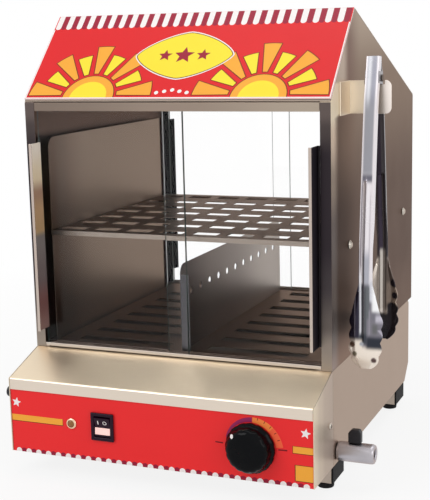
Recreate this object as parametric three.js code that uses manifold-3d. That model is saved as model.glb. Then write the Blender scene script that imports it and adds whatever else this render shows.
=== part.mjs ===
// Hot dog steamer: a countertop steam cabinet with a gabled roof, standing on a heated water base.
// Lengths are millimetres. X runs to the right, Y to the back and Z up.
// The pieces are made with Y = 0 at the cabinet's front plane and Z = 0 at the seam between
// base and cabinet. The last lines move the whole steamer so that it stands on Z = 0.
import * as THREE from 'three';
import { mergeVertices } from 'three/addons/utils/BufferGeometryUtils.js';
import Module from 'manifold-3d';

const wasm = await Module();
wasm.setup();

// Sheet metal and fits
const sheet = 1;
const gap = 0.3; // between pieces that sit against each other
const overrun = 6; // how far a cutting shape passes its work
const arcSteps = 6; // straight steps in a rounded corner
const roundSides = 20; // sides of a turned piece
const drillSides = 8; // sides of a small drilled hole

// Cabinet
const cabinetWidth = 380;
const cabinetDepth = 393;
const frontEave = 303.6; // heights above the seam
const ridgeHeight = 400.6;
const ridgeSetback = 94.4; // from the front plane to the ridge
const rearEave = 287.7;
const postWidth = 12.5;
const footFlange = 18; // inward flange along the foot of each side
const signThickness = 1.5;

// Door tracks and glass
const trackPitch = 7; // from one track lip to the next
const trackLips = 3;
const headerDrop = 10; // depth of the header and its upper track
const sillRise = 4; // height of the lips of the lower track
const glassThickness = 4;
const paneOverlap = 28; // of the two closed panes of one side
const paneMargin = 2.2; // from a pane's outer edge to the post beside it
const paneLift = 3; // room above a pane, so that it can be lifted out
const pullLength = 227;
const pullBottom = 25;
const pullDepth = 25;
const rearPullDepth = 6;
const pullInset = 3; // from a pane's outer edge to the inner face of its pull
const pullLip = 2.5;

// Base and serving deck
const baseHeight = 113;
const rearOverhang = 16; // of the cabinet over the base
const deckReach = 68.5; // how far the deck stands out in front of the cabinet
const deckDrop = 22.3;
const lipDrop = 13.7;
const cheekRear = 2.6;
const rearChamferY = 23;
const rearChamferZ = 22;
const rearNotch = 4;
const ledgeWidth = 17; // inward ledge that carries the water tank
const panelTuck = 8; // how far the control panel reaches up behind the lip
const floorLip = 10;

// Rails, end caps and feet
const railDepth = 44;
const railHeight = 20;
const railWall = 1.5;
const frontRailSetback = 2;
const rearRailInset = 72; // from the rear rail's front face to the base's rear face
const capThickness = 2;
const capPlug = 10;
const footRadius = 10.2;
const footTaper = 0.8;
const footHeight = 6.7;
const footSetback = 10; // from a rail's front face to the foot's centre
const footInset = 11.8; // from the steamer's side to the foot's centre

// Water tank, heater and drain
const tankSideRoom = 12; // between the tank and the ledge beside it
const tankFront = 28;
const tankRearRoom = 3; // between the tank and the ledge behind it
const tankDepth = 60;
const heaterRadius = 4;
const heaterMargin = 45; // between the heater and the tank's walls
const heaterSideMargin = 65;
const heaterSteps = 44;
const heaterBendSteps = 4; // points round the half turn at its rear
const heaterSides = 8;
const pipeRadius = 7;
const pipeBore = 5;
const pipeSteps = 16;
const pipeSides = 10;
const outletInset = 12; // from the tank's right wall to its outlet
const outletSetback = 24; // from the tank's front wall to its outlet
const outletRoundShare = 0.9; // of the pipe's bore
const valveY = 20;
const valveDrop = 99; // from the seam down to the valve's axis
const valveRadius = 11.4;
const valveLength = 44;
const valveChamfer = 2;
const spoutBore = 6;
const spoutDepth = 12;
const leverReach = 21; // from the steamer's side to the lever's axis
const leverWidth = 15;
const leverDepth = 9;
const leverHeight = 16;
const leverChamfer = 4;

// Control panel fittings, with heights measured down from the seam
const lampX = -107.5;
const lampDrop = 70.5;
const lampFlangeRadius = 6.6;
const lampFlange = 1.8;
const lampSleeveRadius = 5.3;
const lampBore = 4.4;
const lampLength = 12;
const lensDome = 1.6;
const lensShoulderShare = 0.8; // of the dome, at half the lens's radius
const switchX = -66.3;
const switchDrop = 70.3;
const switchWidth = 29.3;
const switchHeight = 33.4;
const switchFlange = 2.5;
const switchRim = 2.6; // width of the housing's front rim beside its barrel
const switchWall = 1.6;
const switchDepth = 24;
const rockerDepth = 9;
const rockerHollow = 2; // how far the rocker's middle lies behind its two ends
const rockerTiltDegrees = 7;
const knobSideRoom = 73.2; // from the steamer's side to the middle of the knob
const knobDrop = 74;
const skirtRadius = 29;
const skirtThickness = 5;
const gripRadius = 24;
const gripScallop = 1.8;
const gripLobes = 8;
const gripPointsPerLobe = 6;
const gripThickness = 14;
const knobClearance = 1; // between the knob and the panel
const shaftRadius = 3;
const shaftIntoKnob = 12;
const thermostatWidth = 44;
const thermostatHeight = 34;
const thermostatDepth = 30;
const knobPointerDegrees = 60; // turned to the left of straight up

// Cord gland on the left cheek
const glandSetback = 18.5; // from the deck's front edge
const glandDrop = 45;
const glandRadius = 8.5;
const glandNeck = 6;
const glandProud = 12;
const glandHexLength = 5;
const glandThreadRadius = 6;
const glandThreadLength = 10;
const glandBore = 4;

// Inside the cabinet
const linerInset = 13; // from the steamer's side to the liner's outer face
const linerFront = 28;
const innerRearRoom = 13; // between the rear track and the liners and rack
const linerTop = 256;
const linerCorner = 14;
const pegHeight = 131.8;
const pegFrontSetback = 72.7;
const pegRearInset = 55.5; // from the cabinet's rear plane
const pegHeadRadius = 5.5;
const pegHeadThickness = 2.8;
const pegNeck = 2.4;
const pegSleeve = 5;
const pegRadius = 4;
const pegReach = 11; // how far a peg stands inside the liner
const rackFront = 25;
const rackFlange = 5.7;
const rackColumns = 8;
const rackRows = 7;
const trayFlange = 4;
const trayRearRoom = 7; // between the rear track and the trays and divider
const trayColumns = 1;
const trayRows = 8;
const slotLengthShare = 0.72; // of the pitch between slots, along X
const slotWidthShare = 0.4; // of the pitch between slots, along Y
const dividerHeight = 109;
const dividerFront = 19;
const dividerCorner = 12;
const dividerFlange = 10;
const dividerHoleRadius = 4.5;
const dividerHolePitch = 29.5;
const dividerHoleHeight = 73;
const dividerHoleMargin = 20; // bare length at each end of the row of holes

// Tong tab and tongs
const tabThickness = 1.5;
const tabY = 69.6; // front face of the plate that the tongs straddle
const tabFlangeFront = 31.2;
const tabReach = 49;
const tabTop = 319.7;
const tabHeight = 37.3;
const tabCorner = 7;
const tabNotch = 4.6;
const tabNotchWidth = 23;
const tongReach = 29.8; // from the steamer's side to the tongs' middle
const tongSheet = 1.2;
const armWidth = 16;
const armFlange = 7;
const armFlangeThickness = 1;
const armSideClearance = 0.4; // between the two arms' nested ears
const earRadius = 6.6;
const pinRadius = 2.5;
const pinHeadRadius = 4;
const pinHeadThickness = 1.5;
const tongHeadHalfWidth = 19.5;
const tongHeadLength = 97;
const tongOpenDegrees = 8.5; // each arm, from straight down
const armLength = 327; // from the pin to the tip of the front arm
const rearArmLength = 311;
const armTail = 23; // from the pin to the upper end
const armBow = 16; // greatest distance of an arm's web from the arm's middle line
const armTailShare = 0.675; // of the bow, at the upper end
// The web of an arm below the pin: shares of the bow and of the arm's length
const armWebShares = [
  [0.81, 0],
  [1, 0.092],
  [0.92, 0.338],
  [0.72, 0.585],
  [0.44, 0.708],
  [0, 0.852],
  [-0.19, 0.963],
  [-0.56, 1],
];
const armFlangeShare = 0.67; // of the arm's length, with folded side flanges
const armCurveSteps = 20;
const headSteps = 30;
const headFlareShare = 0.36; // of the head's length, widening from the arm
const headRoundShare = 0.72; // of the head's length, to where the tip rounds off
const headTipShare = 0.9; // how much of the squared width the tip has lost
const headLobeShare = 0.13; // of the head's half width, between two lobes
const headLobes = 4; // down each side

// Places that follow from the sizes above
const half = cabinetWidth / 2;
const inside = half - sheet - gap; // half width between the side sheets
const betweenPosts = half - postWidth - gap;
const trackDepth = trackPitch * (trackLips - 1) + sheet;
const baseBottom = -baseHeight;
const deckFront = -deckReach;
const lipTop = -deckDrop;
const lipBottom = lipTop - lipDrop;
const panelFace = deckFront + sheet + gap;
const tankRimTop = -gap;
const ledgeTop = tankRimTop - sheet - gap;
const linerOuter = half - linerInset;
const linerInner = linerOuter - sheet;
const railTop = baseBottom - gap;
const railBottom = railTop - railHeight;
const switchSideWall = switchRim + switchWall;
const paneOuterEdge = betweenPosts - paneMargin;
const paneWidth = paneOuterEdge + paneOverlap / 2;
const glassSideGap = (trackPitch - sheet - glassThickness) / 2;
const tankWidth = 2 * (half - sheet - ledgeWidth - tankSideRoom);
const knobX = half - knobSideRoom;
const rearTrack = cabinetDepth - trackDepth;
const baseRear = cabinetDepth - rearOverhang;
const innerRear = rearTrack - innerRearRoom;
const trayRear = rearTrack - trayRearRoom;
const pegSetbacks = [pegFrontSetback, cabinetDepth - pegRearInset];

const steel = { color: 0xa59b91, roughness: 0.35, metalness: 1 };
const darkSteel = { color: 0x6f6862, roughness: 0.4, metalness: 1 };
const red = { color: 0xde282d, roughness: 0.35, metalness: 0 };
const black = { color: 0x0d0d10, roughness: 0.3, metalness: 0 };
const rubber = { color: 0x151313, roughness: 0.8, metalness: 0 };
const valveGrey = { color: 0xa9a6ad, roughness: 0.4, metalness: 1 };
const glass = { color: 0xe6efec, roughness: 0.05, metalness: 0 };
const amber = { color: 0xf0b070, roughness: 0.2, metalness: 0 };

// Shapes

function outline(points) {
  return new THREE.Shape(points.map(([u, v]) => new THREE.Vector2(u, v)));
}

// The outline of a sheet folded along a line of points. The sheet lies to the left of the line.
function fold(points, thickness) {
  const line = points.map(([u, v]) => new THREE.Vector2(u, v));
  const normals = line.slice(1).map((point, i) => {
    const along = point.clone().sub(line[i]).normalize();
    return new THREE.Vector2(-along.y, along.x);
  });
  const offset = line.map((point, i) => {
    const before = normals[Math.max(i - 1, 0)];
    const after = normals[Math.min(i, normals.length - 1)];
    const mitre = before.clone().add(after);
    return point.clone().addScaledVector(mitre, thickness / (1 + before.dot(after)));
  });
  return new THREE.Shape([...line, ...offset.reverse()]);
}

// A rectangle with its two corners of high v rounded, or all four.
function roundedPlate([u0, u1], [v0, v1], radius, allRound = false) {
  const shape = new THREE.Shape();
  const low = allRound ? radius : 0;
  shape.moveTo(u0 + low, v0);
  shape.lineTo(u1 - low, v0);
  if (allRound) shape.absarc(u1 - radius, v0 + radius, radius, -Math.PI / 2, 0);
  shape.lineTo(u1, v1 - radius);
  shape.absarc(u1 - radius, v1 - radius, radius, 0, Math.PI / 2);
  shape.lineTo(u0 + radius, v1);
  shape.absarc(u0 + radius, v1 - radius, radius, Math.PI / 2, Math.PI);
  shape.lineTo(u0, v0 + low);
  if (allRound) shape.absarc(u0 + radius, v0 + radius, radius, Math.PI, Math.PI * 1.5);
  return shape;
}

function span(side, near, far) {
  return side > 0 ? [near, far] : [-far, -near];
}

function block([x0, x1], [y0, y1], [z0, z1]) {
  const box = new THREE.BoxGeometry(x1 - x0, y1 - y0, z1 - z0);
  return box.translate((x0 + x1) / 2, (y0 + y1) / 2, (z0 + z1) / 2);
}

const unitX = new THREE.Vector3(1, 0, 0);
const unitY = new THREE.Vector3(0, 1, 0);
const unitZ = new THREE.Vector3(0, 0, 1);
const shapeOnYZ = new THREE.Matrix4().makeBasis(unitY, unitZ, unitX);
const shapeOnXZ = new THREE.Matrix4().makeBasis(unitX, unitZ, unitY.clone().negate());

// A shape drawn on the plane across the axis, extruded along the axis over the span.
function prism(axis, shape, [low, high]) {
  const options = { depth: high - low, bevelEnabled: false, curveSegments: arcSteps };
  const body = new THREE.ExtrudeGeometry(shape, options);
  if (axis === 'x') return body.translate(0, 0, low).applyMatrix4(shapeOnYZ);
  if (axis === 'y') return body.translate(0, 0, -high).applyMatrix4(shapeOnXZ);
  return body.translate(0, 0, low);
}

// A turned piece: points of radius and place along the axis, which is X or Y.
function turned(axis, points, sides = roundSides) {
  const profile = points.map(([radius, along]) => new THREE.Vector2(radius, along));
  const body = new THREE.LatheGeometry(profile, sides);
  return axis === 'x' ? body.rotateZ(-Math.PI / 2) : body;
}

function rod(axis, radius, [low, high], sides = roundSides) {
  return turned(axis, [[0, low], [radius, low], [radius, high], [0, high]], sides);
}

// Joining and cutting

function solid(geometry) {
  const bare = geometry.clone();
  bare.deleteAttribute('normal');
  bare.deleteAttribute('uv');
  const merged = mergeVertices(bare);
  const vertProperties = new Float32Array(merged.attributes.position.array);
  const triVerts = new Uint32Array(merged.index.array);
  return new wasm.Manifold(new wasm.Mesh({ numProp: 3, vertProperties, triVerts }));
}

function surface(body) {
  const mesh = body.getMesh();
  const geometry = new THREE.BufferGeometry();
  geometry.setAttribute('position', new THREE.BufferAttribute(mesh.vertProperties, 3));
  geometry.setIndex(new THREE.BufferAttribute(mesh.triVerts, 1));
  geometry.computeVertexNormals();
  return geometry;
}

function join(...pieces) {
  return surface(pieces.map(solid).reduce((body, piece) => body.add(piece)));
}

function cut(work, ...tools) {
  return surface(tools.map(solid).reduce((body, tool) => body.subtract(tool), solid(work)));
}

function common(first, second) {
  return surface(solid(first).intersect(solid(second)));
}

const steamer = new THREE.Group();

function add(name, geometry, finish, parent = steamer) {
  const mesh = new THREE.Mesh(geometry, new THREE.MeshStandardMaterial(finish));
  mesh.name = name;
  parent.add(mesh);
  return mesh;
}

// Roof line: eave, ridge and rear eave, moved inward square to the two slopes
function roofLine(frontInset, rearInset) {
  const frontRise = (ridgeHeight - frontEave) / ridgeSetback;
  const rearFall = (ridgeHeight - rearEave) / (cabinetDepth - ridgeSetback);
  const front = frontEave - frontInset * Math.hypot(1, frontRise);
  const rear = rearEave - rearInset * Math.hypot(1, rearFall);
  const ridge = (rear + rearFall * cabinetDepth - front) / (frontRise + rearFall);
  return [[0, front], [ridge, front + frontRise * ridge], [cabinetDepth, rear]];
}

const coverInset = signThickness + gap;
const coverInner = roofLine(coverInset + sheet, sheet);
const sideTop = roofLine(coverInset + sheet + gap, sheet + gap);
const frontHeaderTop = coverInner[0][1] - gap;
const rearHeaderTop = coverInner[2][1] - gap;

function addRoof() {
  const cover = fold(roofLine(coverInset, 0).reverse(), sheet);
  add('roof_cover', prism('x', cover, [-half, half]), steel);
  const [eave, ridge] = roofLine(0, 0);
  add('sign_panel', prism('x', fold([ridge, eave], signThickness), [-half, half]), red);
}

// A corner post is the folded edge of its side, so its top follows the roof
function postOutline(y0, y1, [first, second]) {
  const slope = (second[1] - first[1]) / (second[0] - first[0]);
  const top = (y) => first[1] + slope * (y - first[0]);
  return outline([[y0, 0], [y0, top(y0)], [y1, top(y1)], [y1, 0]]);
}

function pegHole(side, setback) {
  const reach = span(side, linerInner - overrun, half + overrun);
  return rod('x', pegNeck + gap, reach, drillSides).translate(0, setback, pegHeight);
}

function addCabinetSide(side, name) {
  const [front, ridge, rear] = sideTop;
  const plate = prism('x', outline([[0, 0], front, ridge, rear, [cabinetDepth, 0]]),
    span(side, half - sheet, half));
  const postSpan = span(side, half - postWidth, half);
  const frontPost = prism('x', postOutline(0, sheet, [front, ridge]), postSpan);
  const rearEdge = cabinetDepth - sheet;
  const rearPost = prism('x', postOutline(rearEdge, cabinetDepth, [ridge, rear]), postSpan);
  const foot = block(span(side, half - footFlange, half), [0, cabinetDepth], [0, sheet]);
  const body = join(plate, frontPost, rearPost, foot);
  add(name, cut(body, ...pegSetbacks.map((setback) => pegHole(side, setback))), steel);
}

// A track is a comb: a web with lips, seen from the end. The web's outer face is at z = back
function trackComb(y0, back, tip) {
  const web = back + Math.sign(tip - back) * sheet;
  const points = [[y0 + trackDepth, tip], [y0 + trackDepth, back], [y0, back]];
  for (let i = 0; i < trackLips; i += 1) {
    const lip = y0 + i * trackPitch;
    if (i > 0) points.push([lip, web]);
    points.push([lip, tip]);
    if (i < trackLips - 1) points.push([lip + sheet, tip], [lip + sheet, web]);
  }
  return outline(points);
}

const sillBottom = sheet + gap;
const sillFloor = sillBottom + sheet;

function addTracks() {
  const reach = [-betweenPosts, betweenPosts];
  const sillTop = sillBottom + sillRise;
  add('front_sill_track', prism('x', trackComb(0, sillBottom, sillTop), reach), steel);
  add('rear_sill_track', prism('x', trackComb(rearTrack, sillBottom, sillTop), reach), steel);
  const front = trackComb(0, frontHeaderTop, frontHeaderTop - headerDrop);
  add('front_header', prism('x', front, reach), steel);
  const rear = trackComb(rearTrack, rearHeaderTop, rearHeaderTop - headerDrop);
  add('rear_header', prism('x', rear, reach), steel);
}

// One sliding pane and its finger pull. The pane's face is at y = face, its outer edge on side
function addDoor(parent, name, side, face, paneTop, pullOut) {
  const inner = paneOuterEdge - paneWidth;
  const bottom = sillFloor + gap;
  const pane = block(span(side, inner, paneOuterEdge), [face, face + glassThickness],
    [bottom, paneTop]);
  add(`${name}_pane`, pane, glass, parent);
  const glue = face - gap;
  const tip = face - pullOut;
  const web = paneOuterEdge - pullInset;
  const path = [
    [-(web - pullLip), tip],
    [-web, tip],
    [-web, glue],
    [-paneOuterEdge, glue],
  ];
  const folded = side < 0 ? path : path.map(([x, y]) => [-x, y]).reverse();
  const pull = prism('z', fold(folded, sheet), [pullBottom, pullBottom + pullLength]);
  add(`${name}_pull`, pull, steel, parent);
}

function addDoors() {
  const outerTrack = sheet + glassSideGap;
  const innerTrack = outerTrack + trackPitch;
  const frontTop = frontHeaderTop - sheet - paneLift;
  addDoor(steamer, 'front_left', -1, outerTrack, frontTop, pullDepth);
  addDoor(steamer, 'front_right', 1, innerTrack, frontTop, pullDepth);
  const rearPair = new THREE.Group();
  rearPair.position.set(0, cabinetDepth, 0);
  rearPair.rotation.z = Math.PI;
  steamer.add(rearPair);
  const rearTop = rearHeaderTop - sheet - paneLift;
  addDoor(rearPair, 'rear_right', -1, outerTrack, rearTop, rearPullDepth);
  addDoor(rearPair, 'rear_left', 1, innerTrack, rearTop, rearPullDepth);
}

function addLiner(side, name) {
  const plate = roundedPlate([linerFront, innerRear], [sheet + gap, linerTop], linerCorner);
  const body = prism('x', plate, span(side, linerInner, linerOuter));
  add(name, cut(body, ...pegSetbacks.map((setback) => pegHole(side, setback))), steel);
}

// A peg is a bolt through the cabinet side: head, spacing sleeve, and the stub inside
function pegProfile() {
  const head = half + gap;
  const sleeveEnd = half - sheet - gap;
  const sleeveStart = linerOuter + gap;
  const stub = linerInner - gap;
  return [
    [0, head + pegHeadThickness],
    [pegHeadRadius / 2, head + pegHeadThickness],
    [pegHeadRadius, head],
    [pegNeck, head],
    [pegNeck, sleeveEnd],
    [pegSleeve, sleeveEnd],
    [pegSleeve, sleeveStart],
    [pegNeck, sleeveStart],
    [pegNeck, stub],
    [pegRadius, stub],
    [pegRadius, stub - pegReach],
    [0, stub - pegReach],
  ];
}

function addPegs() {
  const names = ['front', 'rear'];
  pegSetbacks.forEach((setback, i) => {
    for (const [side, word] of [[-1, 'left'], [1, 'right']]) {
      const body = turned('x', pegProfile().reverse());
      if (side < 0) body.rotateZ(Math.PI);
      const peg = add(`${names[i]}_${word}_peg`, body, steel);
      peg.position.set(0, setback, pegHeight);
    }
  });
}

// A shelf: a slotted plate with its four edges turned down
function slottedShelf([x0, x1], [y0, y1], [z0, z1], columns, rows) {
  const shell = block([x0, x1], [y0, y1], [z0, z1]);
  const hollow = block([x0 + sheet, x1 - sheet], [y0 + sheet, y1 - sheet],
    [z0 - overrun, z1 - sheet]);
  const pitchX = (x1 - x0) / columns;
  const pitchY = (y1 - y0) / rows;
  const slotHalfX = (pitchX * slotLengthShare) / 2;
  const slotHalfY = (pitchY * slotWidthShare) / 2;
  const slots = [];
  for (let i = 0; i < columns; i += 1) {
    for (let j = 0; j < rows; j += 1) {
      const x = x0 + (i + 0.5) * pitchX;
      const y = y0 + (j + 0.5) * pitchY;
      slots.push(block([x - slotHalfX, x + slotHalfX], [y - slotHalfY, y + slotHalfY],
        [z0, z1 + overrun]));
    }
  }
  return cut(shell, hollow, ...slots);
}

function addShelves() {
  const rackBottom = pegHeight + pegRadius + gap;
  const rackHalf = linerInner - gap;
  add('bun_rack', slottedShelf([-rackHalf, rackHalf], [rackFront, innerRear],
    [rackBottom, rackBottom + rackFlange], rackColumns, rackRows), steel);
  const trayInner = sheet / 2 + gap;
  const trayOuter = half - footFlange - gap;
  const trayFront = dividerFront + sheet + gap;
  for (const [side, word] of [[-1, 'left'], [1, 'right']]) {
    add(`${word}_steam_tray`, slottedShelf(span(side, trayInner, trayOuter),
      [trayFront, trayRear], [0, trayFlange], trayColumns, trayRows), steel);
  }
}

function addDivider() {
  const plate = prism('x', roundedPlate([dividerFront, trayRear], [0, dividerHeight],
    dividerCorner), [-sheet / 2, sheet / 2]);
  const flange = block([-sheet / 2, dividerFlange], [dividerFront, dividerFront + sheet],
    [0, dividerHeight - dividerCorner]);
  const middle = (dividerFront + trayRear) / 2;
  const steps = Math.floor((trayRear - dividerFront - 2 * dividerHoleMargin) / dividerHolePitch);
  const holes = [];
  for (let i = 0; i <= steps; i += 1) {
    const y = middle + (i - steps / 2) * dividerHolePitch;
    const drill = rod('x', dividerHoleRadius, [-overrun, overrun], drillSides);
    holes.push(drill.translate(0, y, dividerHoleHeight));
  }
  add('centre_divider', cut(join(plate, flange), ...holes), steel);
}

// Base

function addDeck() {
  const path = [[trackDepth, -gap], [0, -gap], [deckFront, lipTop], [deckFront, lipBottom]];
  add('serving_deck', prism('x', fold(path, sheet), [-inside, inside]), steel);
}

function addCheek(side, name) {
  const shape = outline([[deckFront, baseBottom], [deckFront, lipTop], [0, -gap],
    [cheekRear, -gap], [cheekRear, baseBottom]]);
  const plate = prism('x', shape, span(side, half - sheet, half));
  if (side > 0) {
    add(name, plate, steel);
    return;
  }
  const drill = rod('x', glandThreadRadius + gap, [-half - overrun, -half + overrun]);
  add(name, cut(plate, drill.translate(0, deckFront + glandSetback, -glandDrop)), steel);
}

const sidePanelFront = cheekRear + gap;
const ledgeFront = trackDepth + 2 * gap;
const rearLedge = baseRear - sheet - ledgeWidth;

function addBaseSide(side, name) {
  const shape = outline([
    [sidePanelFront, baseBottom],
    [sidePanelFront, -gap],
    [baseRear - rearNotch, -gap],
    [baseRear, -gap - rearNotch],
    [baseRear, baseBottom + rearChamferZ],
    [baseRear - rearChamferY, baseBottom],
  ]);
  const plate = prism('x', shape, span(side, half - sheet, half));
  const ledge = block(span(side, half - sheet - ledgeWidth, half - sheet / 2),
    [ledgeFront, rearLedge - gap], [ledgeTop - sheet, ledgeTop]);
  const body = join(plate, ledge);
  if (side < 0) {
    add(name, body, steel);
    return;
  }
  const drill = rod('x', pipeRadius + gap, [half - overrun, half + overrun]);
  add(name, cut(body, drill.translate(0, valveY, -valveDrop)), steel);
}

function addBaseRear() {
  const path = [
    [baseRear - rearChamferY, baseBottom],
    [baseRear, baseBottom + rearChamferZ],
    [baseRear, -gap - rearNotch],
    [baseRear - rearNotch - gap - ledgeTop, ledgeTop],
    [rearLedge, ledgeTop],
  ];
  add('base_rear_panel', prism('x', fold(path, sheet), [-inside, inside]), steel);
}

function addBaseFloor() {
  const front = panelFace + sheet + gap;
  const rear = baseRear - rearChamferY - sheet;
  const path = [[front, baseBottom + floorLip], [front, baseBottom], [rear, baseBottom]];
  add('base_floor', prism('x', fold(path, sheet), [-inside, inside]), steel);
}

function addControlPanel() {
  const plate = block([-inside, inside], [panelFace, panelFace + sheet],
    [baseBottom, lipBottom + panelTuck]);
  const through = [panelFace - overrun, panelFace + overrun];
  const lampHole = rod('y', lampSleeveRadius + gap, through);
  const shaftHole = rod('y', shaftRadius + knobClearance, through);
  const barrelWidth = switchWidth / 2 - switchRim + gap;
  const barrelHeight = switchHeight / 2 - switchRim + gap;
  const switchHole = block([-barrelWidth, barrelWidth], through, [-barrelHeight, barrelHeight]);
  add('control_panel', cut(plate,
    lampHole.translate(lampX, 0, -lampDrop),
    shaftHole.translate(knobX, 0, -knobDrop),
    switchHole.translate(switchX, 0, -switchDrop)), red);
}

// The fittings below are made round Y = 0 as the panel's front face, then moved to it

function addLamp() {
  const back = lampLength - gap;
  const ring = turned('y', [
    [lampBore, -gap - lampFlange],
    [lampFlangeRadius, -gap - lampFlange / 2],
    [lampFlangeRadius, -gap],
    [lampSleeveRadius, -gap],
    [lampSleeveRadius, back],
    [lampBore, back],
    [lampBore, -gap - lampFlange],
  ]);
  add('lamp_bezel', ring, steel).position.set(lampX, panelFace, -lampDrop);
  const lensRadius = lampBore - gap;
  const lens = turned('y', [
    [0, -lampFlange - lensDome],
    [lensRadius / 2, -lampFlange - lensDome * lensShoulderShare],
    [lensRadius, -lampFlange],
    [lensRadius, back],
    [0, back],
  ]);
  add('lamp_lens', lens, amber).position.set(lampX, panelFace, -lampDrop);
}

const windowHalfWidth = switchWidth / 2 - switchSideWall;
const windowHalfHeight = switchHeight / 2 - switchSideWall;

function addSwitch() {
  const flange = block([-switchWidth / 2, switchWidth / 2], [-gap - switchFlange, -gap],
    [-switchHeight / 2, switchHeight / 2]);
  const barrelWidth = switchWidth / 2 - switchRim;
  const barrelHeight = switchHeight / 2 - switchRim;
  const barrel = block([-barrelWidth, barrelWidth], [-gap - switchFlange / 2, switchDepth],
    [-barrelHeight, barrelHeight]);
  const window = block([-windowHalfWidth, windowHalfWidth],
    [-gap - switchFlange - overrun, rockerDepth], [-windowHalfHeight, windowHalfHeight]);
  const housing = add('switch_housing', cut(join(flange, barrel), window), black);
  housing.position.set(switchX, panelFace, -switchDrop);

  const rockerHalf = windowHalfHeight - 3 * gap;
  const front = -gap - switchFlange;
  const shape = outline([
    [front, rockerHalf],
    [front + rockerHollow, 0],
    [front, -rockerHalf],
    [0, -rockerHalf],
    [rockerDepth - gap, 0],
    [0, rockerHalf],
  ]);
  const width = windowHalfWidth - gap;
  const rocker = add('power_rocker', prism('x', shape, [-width, width]), black);
  rocker.position.set(switchX, panelFace, -switchDrop);
  rocker.rotation.x = THREE.MathUtils.degToRad(rockerTiltDegrees);
}

function addThermostat() {
  const shaftTip = -knobClearance - shaftIntoKnob;
  const body = block([-thermostatWidth / 2, thermostatWidth / 2],
    [sheet + gap, sheet + gap + thermostatDepth], [-thermostatHeight / 2, thermostatHeight / 2]);
  const shaft = rod('y', shaftRadius, [shaftTip, sheet + gap + thermostatDepth / 2]);
  add('thermostat', join(body, shaft), darkSteel).position.set(knobX, panelFace, -knobDrop);
}

function addKnob() {
  const back = -knobClearance;
  const gripShape = new THREE.Shape();
  const count = gripLobes * gripPointsPerLobe;
  for (let i = 0; i < count; i += 1) {
    const angle = (2 * Math.PI * i) / count;
    const radius = gripRadius + gripScallop * Math.cos(gripLobes * angle);
    const point = [radius * Math.sin(angle), radius * Math.cos(angle)];
    if (i === 0) gripShape.moveTo(...point);
    else gripShape.lineTo(...point);
  }
  const skirtFront = back - skirtThickness;
  const grip = prism('y', gripShape, [skirtFront - gripThickness, skirtFront + sheet]);
  const skirt = rod('y', skirtRadius, [skirtFront, back], count);
  const bore = rod('y', shaftRadius + gap, [back - shaftIntoKnob - gap, back + overrun]);
  const knob = add('thermostat_knob', cut(join(grip, skirt), bore), black);
  knob.position.set(knobX, panelFace, -knobDrop);
  knob.rotation.y = -THREE.MathUtils.degToRad(knobPointerDegrees);
}

function addGland() {
  const outer = -half - gap;
  const gland = turned('x', [
    [glandBore, outer - glandProud],
    [glandNeck, outer - glandProud],
    [glandRadius, outer - glandHexLength],
    [glandRadius, outer],
    [glandThreadRadius, outer],
    [glandThreadRadius, outer + glandThreadLength],
    [glandBore, outer + glandThreadLength],
    [glandBore, outer - glandProud],
  ]);
  add('cord_gland', gland, black).position.set(0, deckFront + glandSetback, -glandDrop);
}

function addRails() {
  const reach = half - capThickness - gap;
  const setbacks = [['front', frontRailSetback], ['rear', baseRear - rearRailInset]];
  for (const [place, setback] of setbacks) {
    const tube = outline([[setback, railBottom], [setback + railDepth, railBottom],
      [setback + railDepth, railTop], [setback, railTop]]);
    tube.holes.push(outline([
      [setback + railWall, railBottom + railWall],
      [setback + railWall, railTop - railWall],
      [setback + railDepth - railWall, railTop - railWall],
      [setback + railDepth - railWall, railBottom + railWall],
    ]));
    add(`${place}_rail`, prism('x', tube, [-reach, reach]), steel);
    for (const [side, word] of [[-1, 'left'], [1, 'right']]) {
      const plate = block(span(side, half - capThickness, half),
        [setback, setback + railDepth], [railBottom, railTop]);
      const shrink = railWall + gap;
      const plug = block(span(side, half - capThickness - capPlug, half - capThickness / 2),
        [setback + shrink, setback + railDepth - shrink],
        [railBottom + shrink, railTop - shrink]);
      add(`${place}_${word}_end_cap`, join(plate, plug), rubber);
      addFoot(`${place}_${word}_foot`, side, setback + footSetback);
    }
  }
}

function addFoot(name, side, y) {
  const foot = new THREE.CylinderGeometry(footRadius - footTaper, footRadius, footHeight,
    roundSides).rotateX(-Math.PI / 2);
  const z = railBottom - gap - footHeight / 2;
  add(name, foot, rubber).position.set(side * (half - footInset), y, z);
}

// Water side

const tankRear = rearLedge - tankRearRoom;
const tankFloor = tankRimTop - tankDepth;
const outletX = tankWidth / 2 - outletInset;
const outletY = tankFront + outletSetback;
const heaterHalfWidth = tankWidth / 2 - heaterSideMargin;

function addTank() {
  const rimHalf = inside;
  const rimFront = trackDepth + 2 * gap;
  const rimRear = baseRear - rearNotch - gap;
  const rim = block([-rimHalf, rimHalf], [rimFront, rimRear], [tankRimTop - sheet, tankRimTop]);
  const shell = block([-tankWidth / 2, tankWidth / 2], [tankFront, tankRear],
    [tankFloor, tankRimTop]);
  const hollow = block([-tankWidth / 2 + sheet, tankWidth / 2 - sheet],
    [tankFront + sheet, tankRear - sheet], [tankFloor + sheet, tankRimTop + overrun]);
  const outlet = prism('z', roundedPlate([-pipeBore, pipeBore], [-pipeBore, pipeBore],
    pipeBore * outletRoundShare, true), [tankFloor - overrun, tankFloor + overrun]);
  add('water_tank', cut(join(rim, shell), hollow,
    outlet.translate(outletX, outletY, 0)), steel);
}

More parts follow.
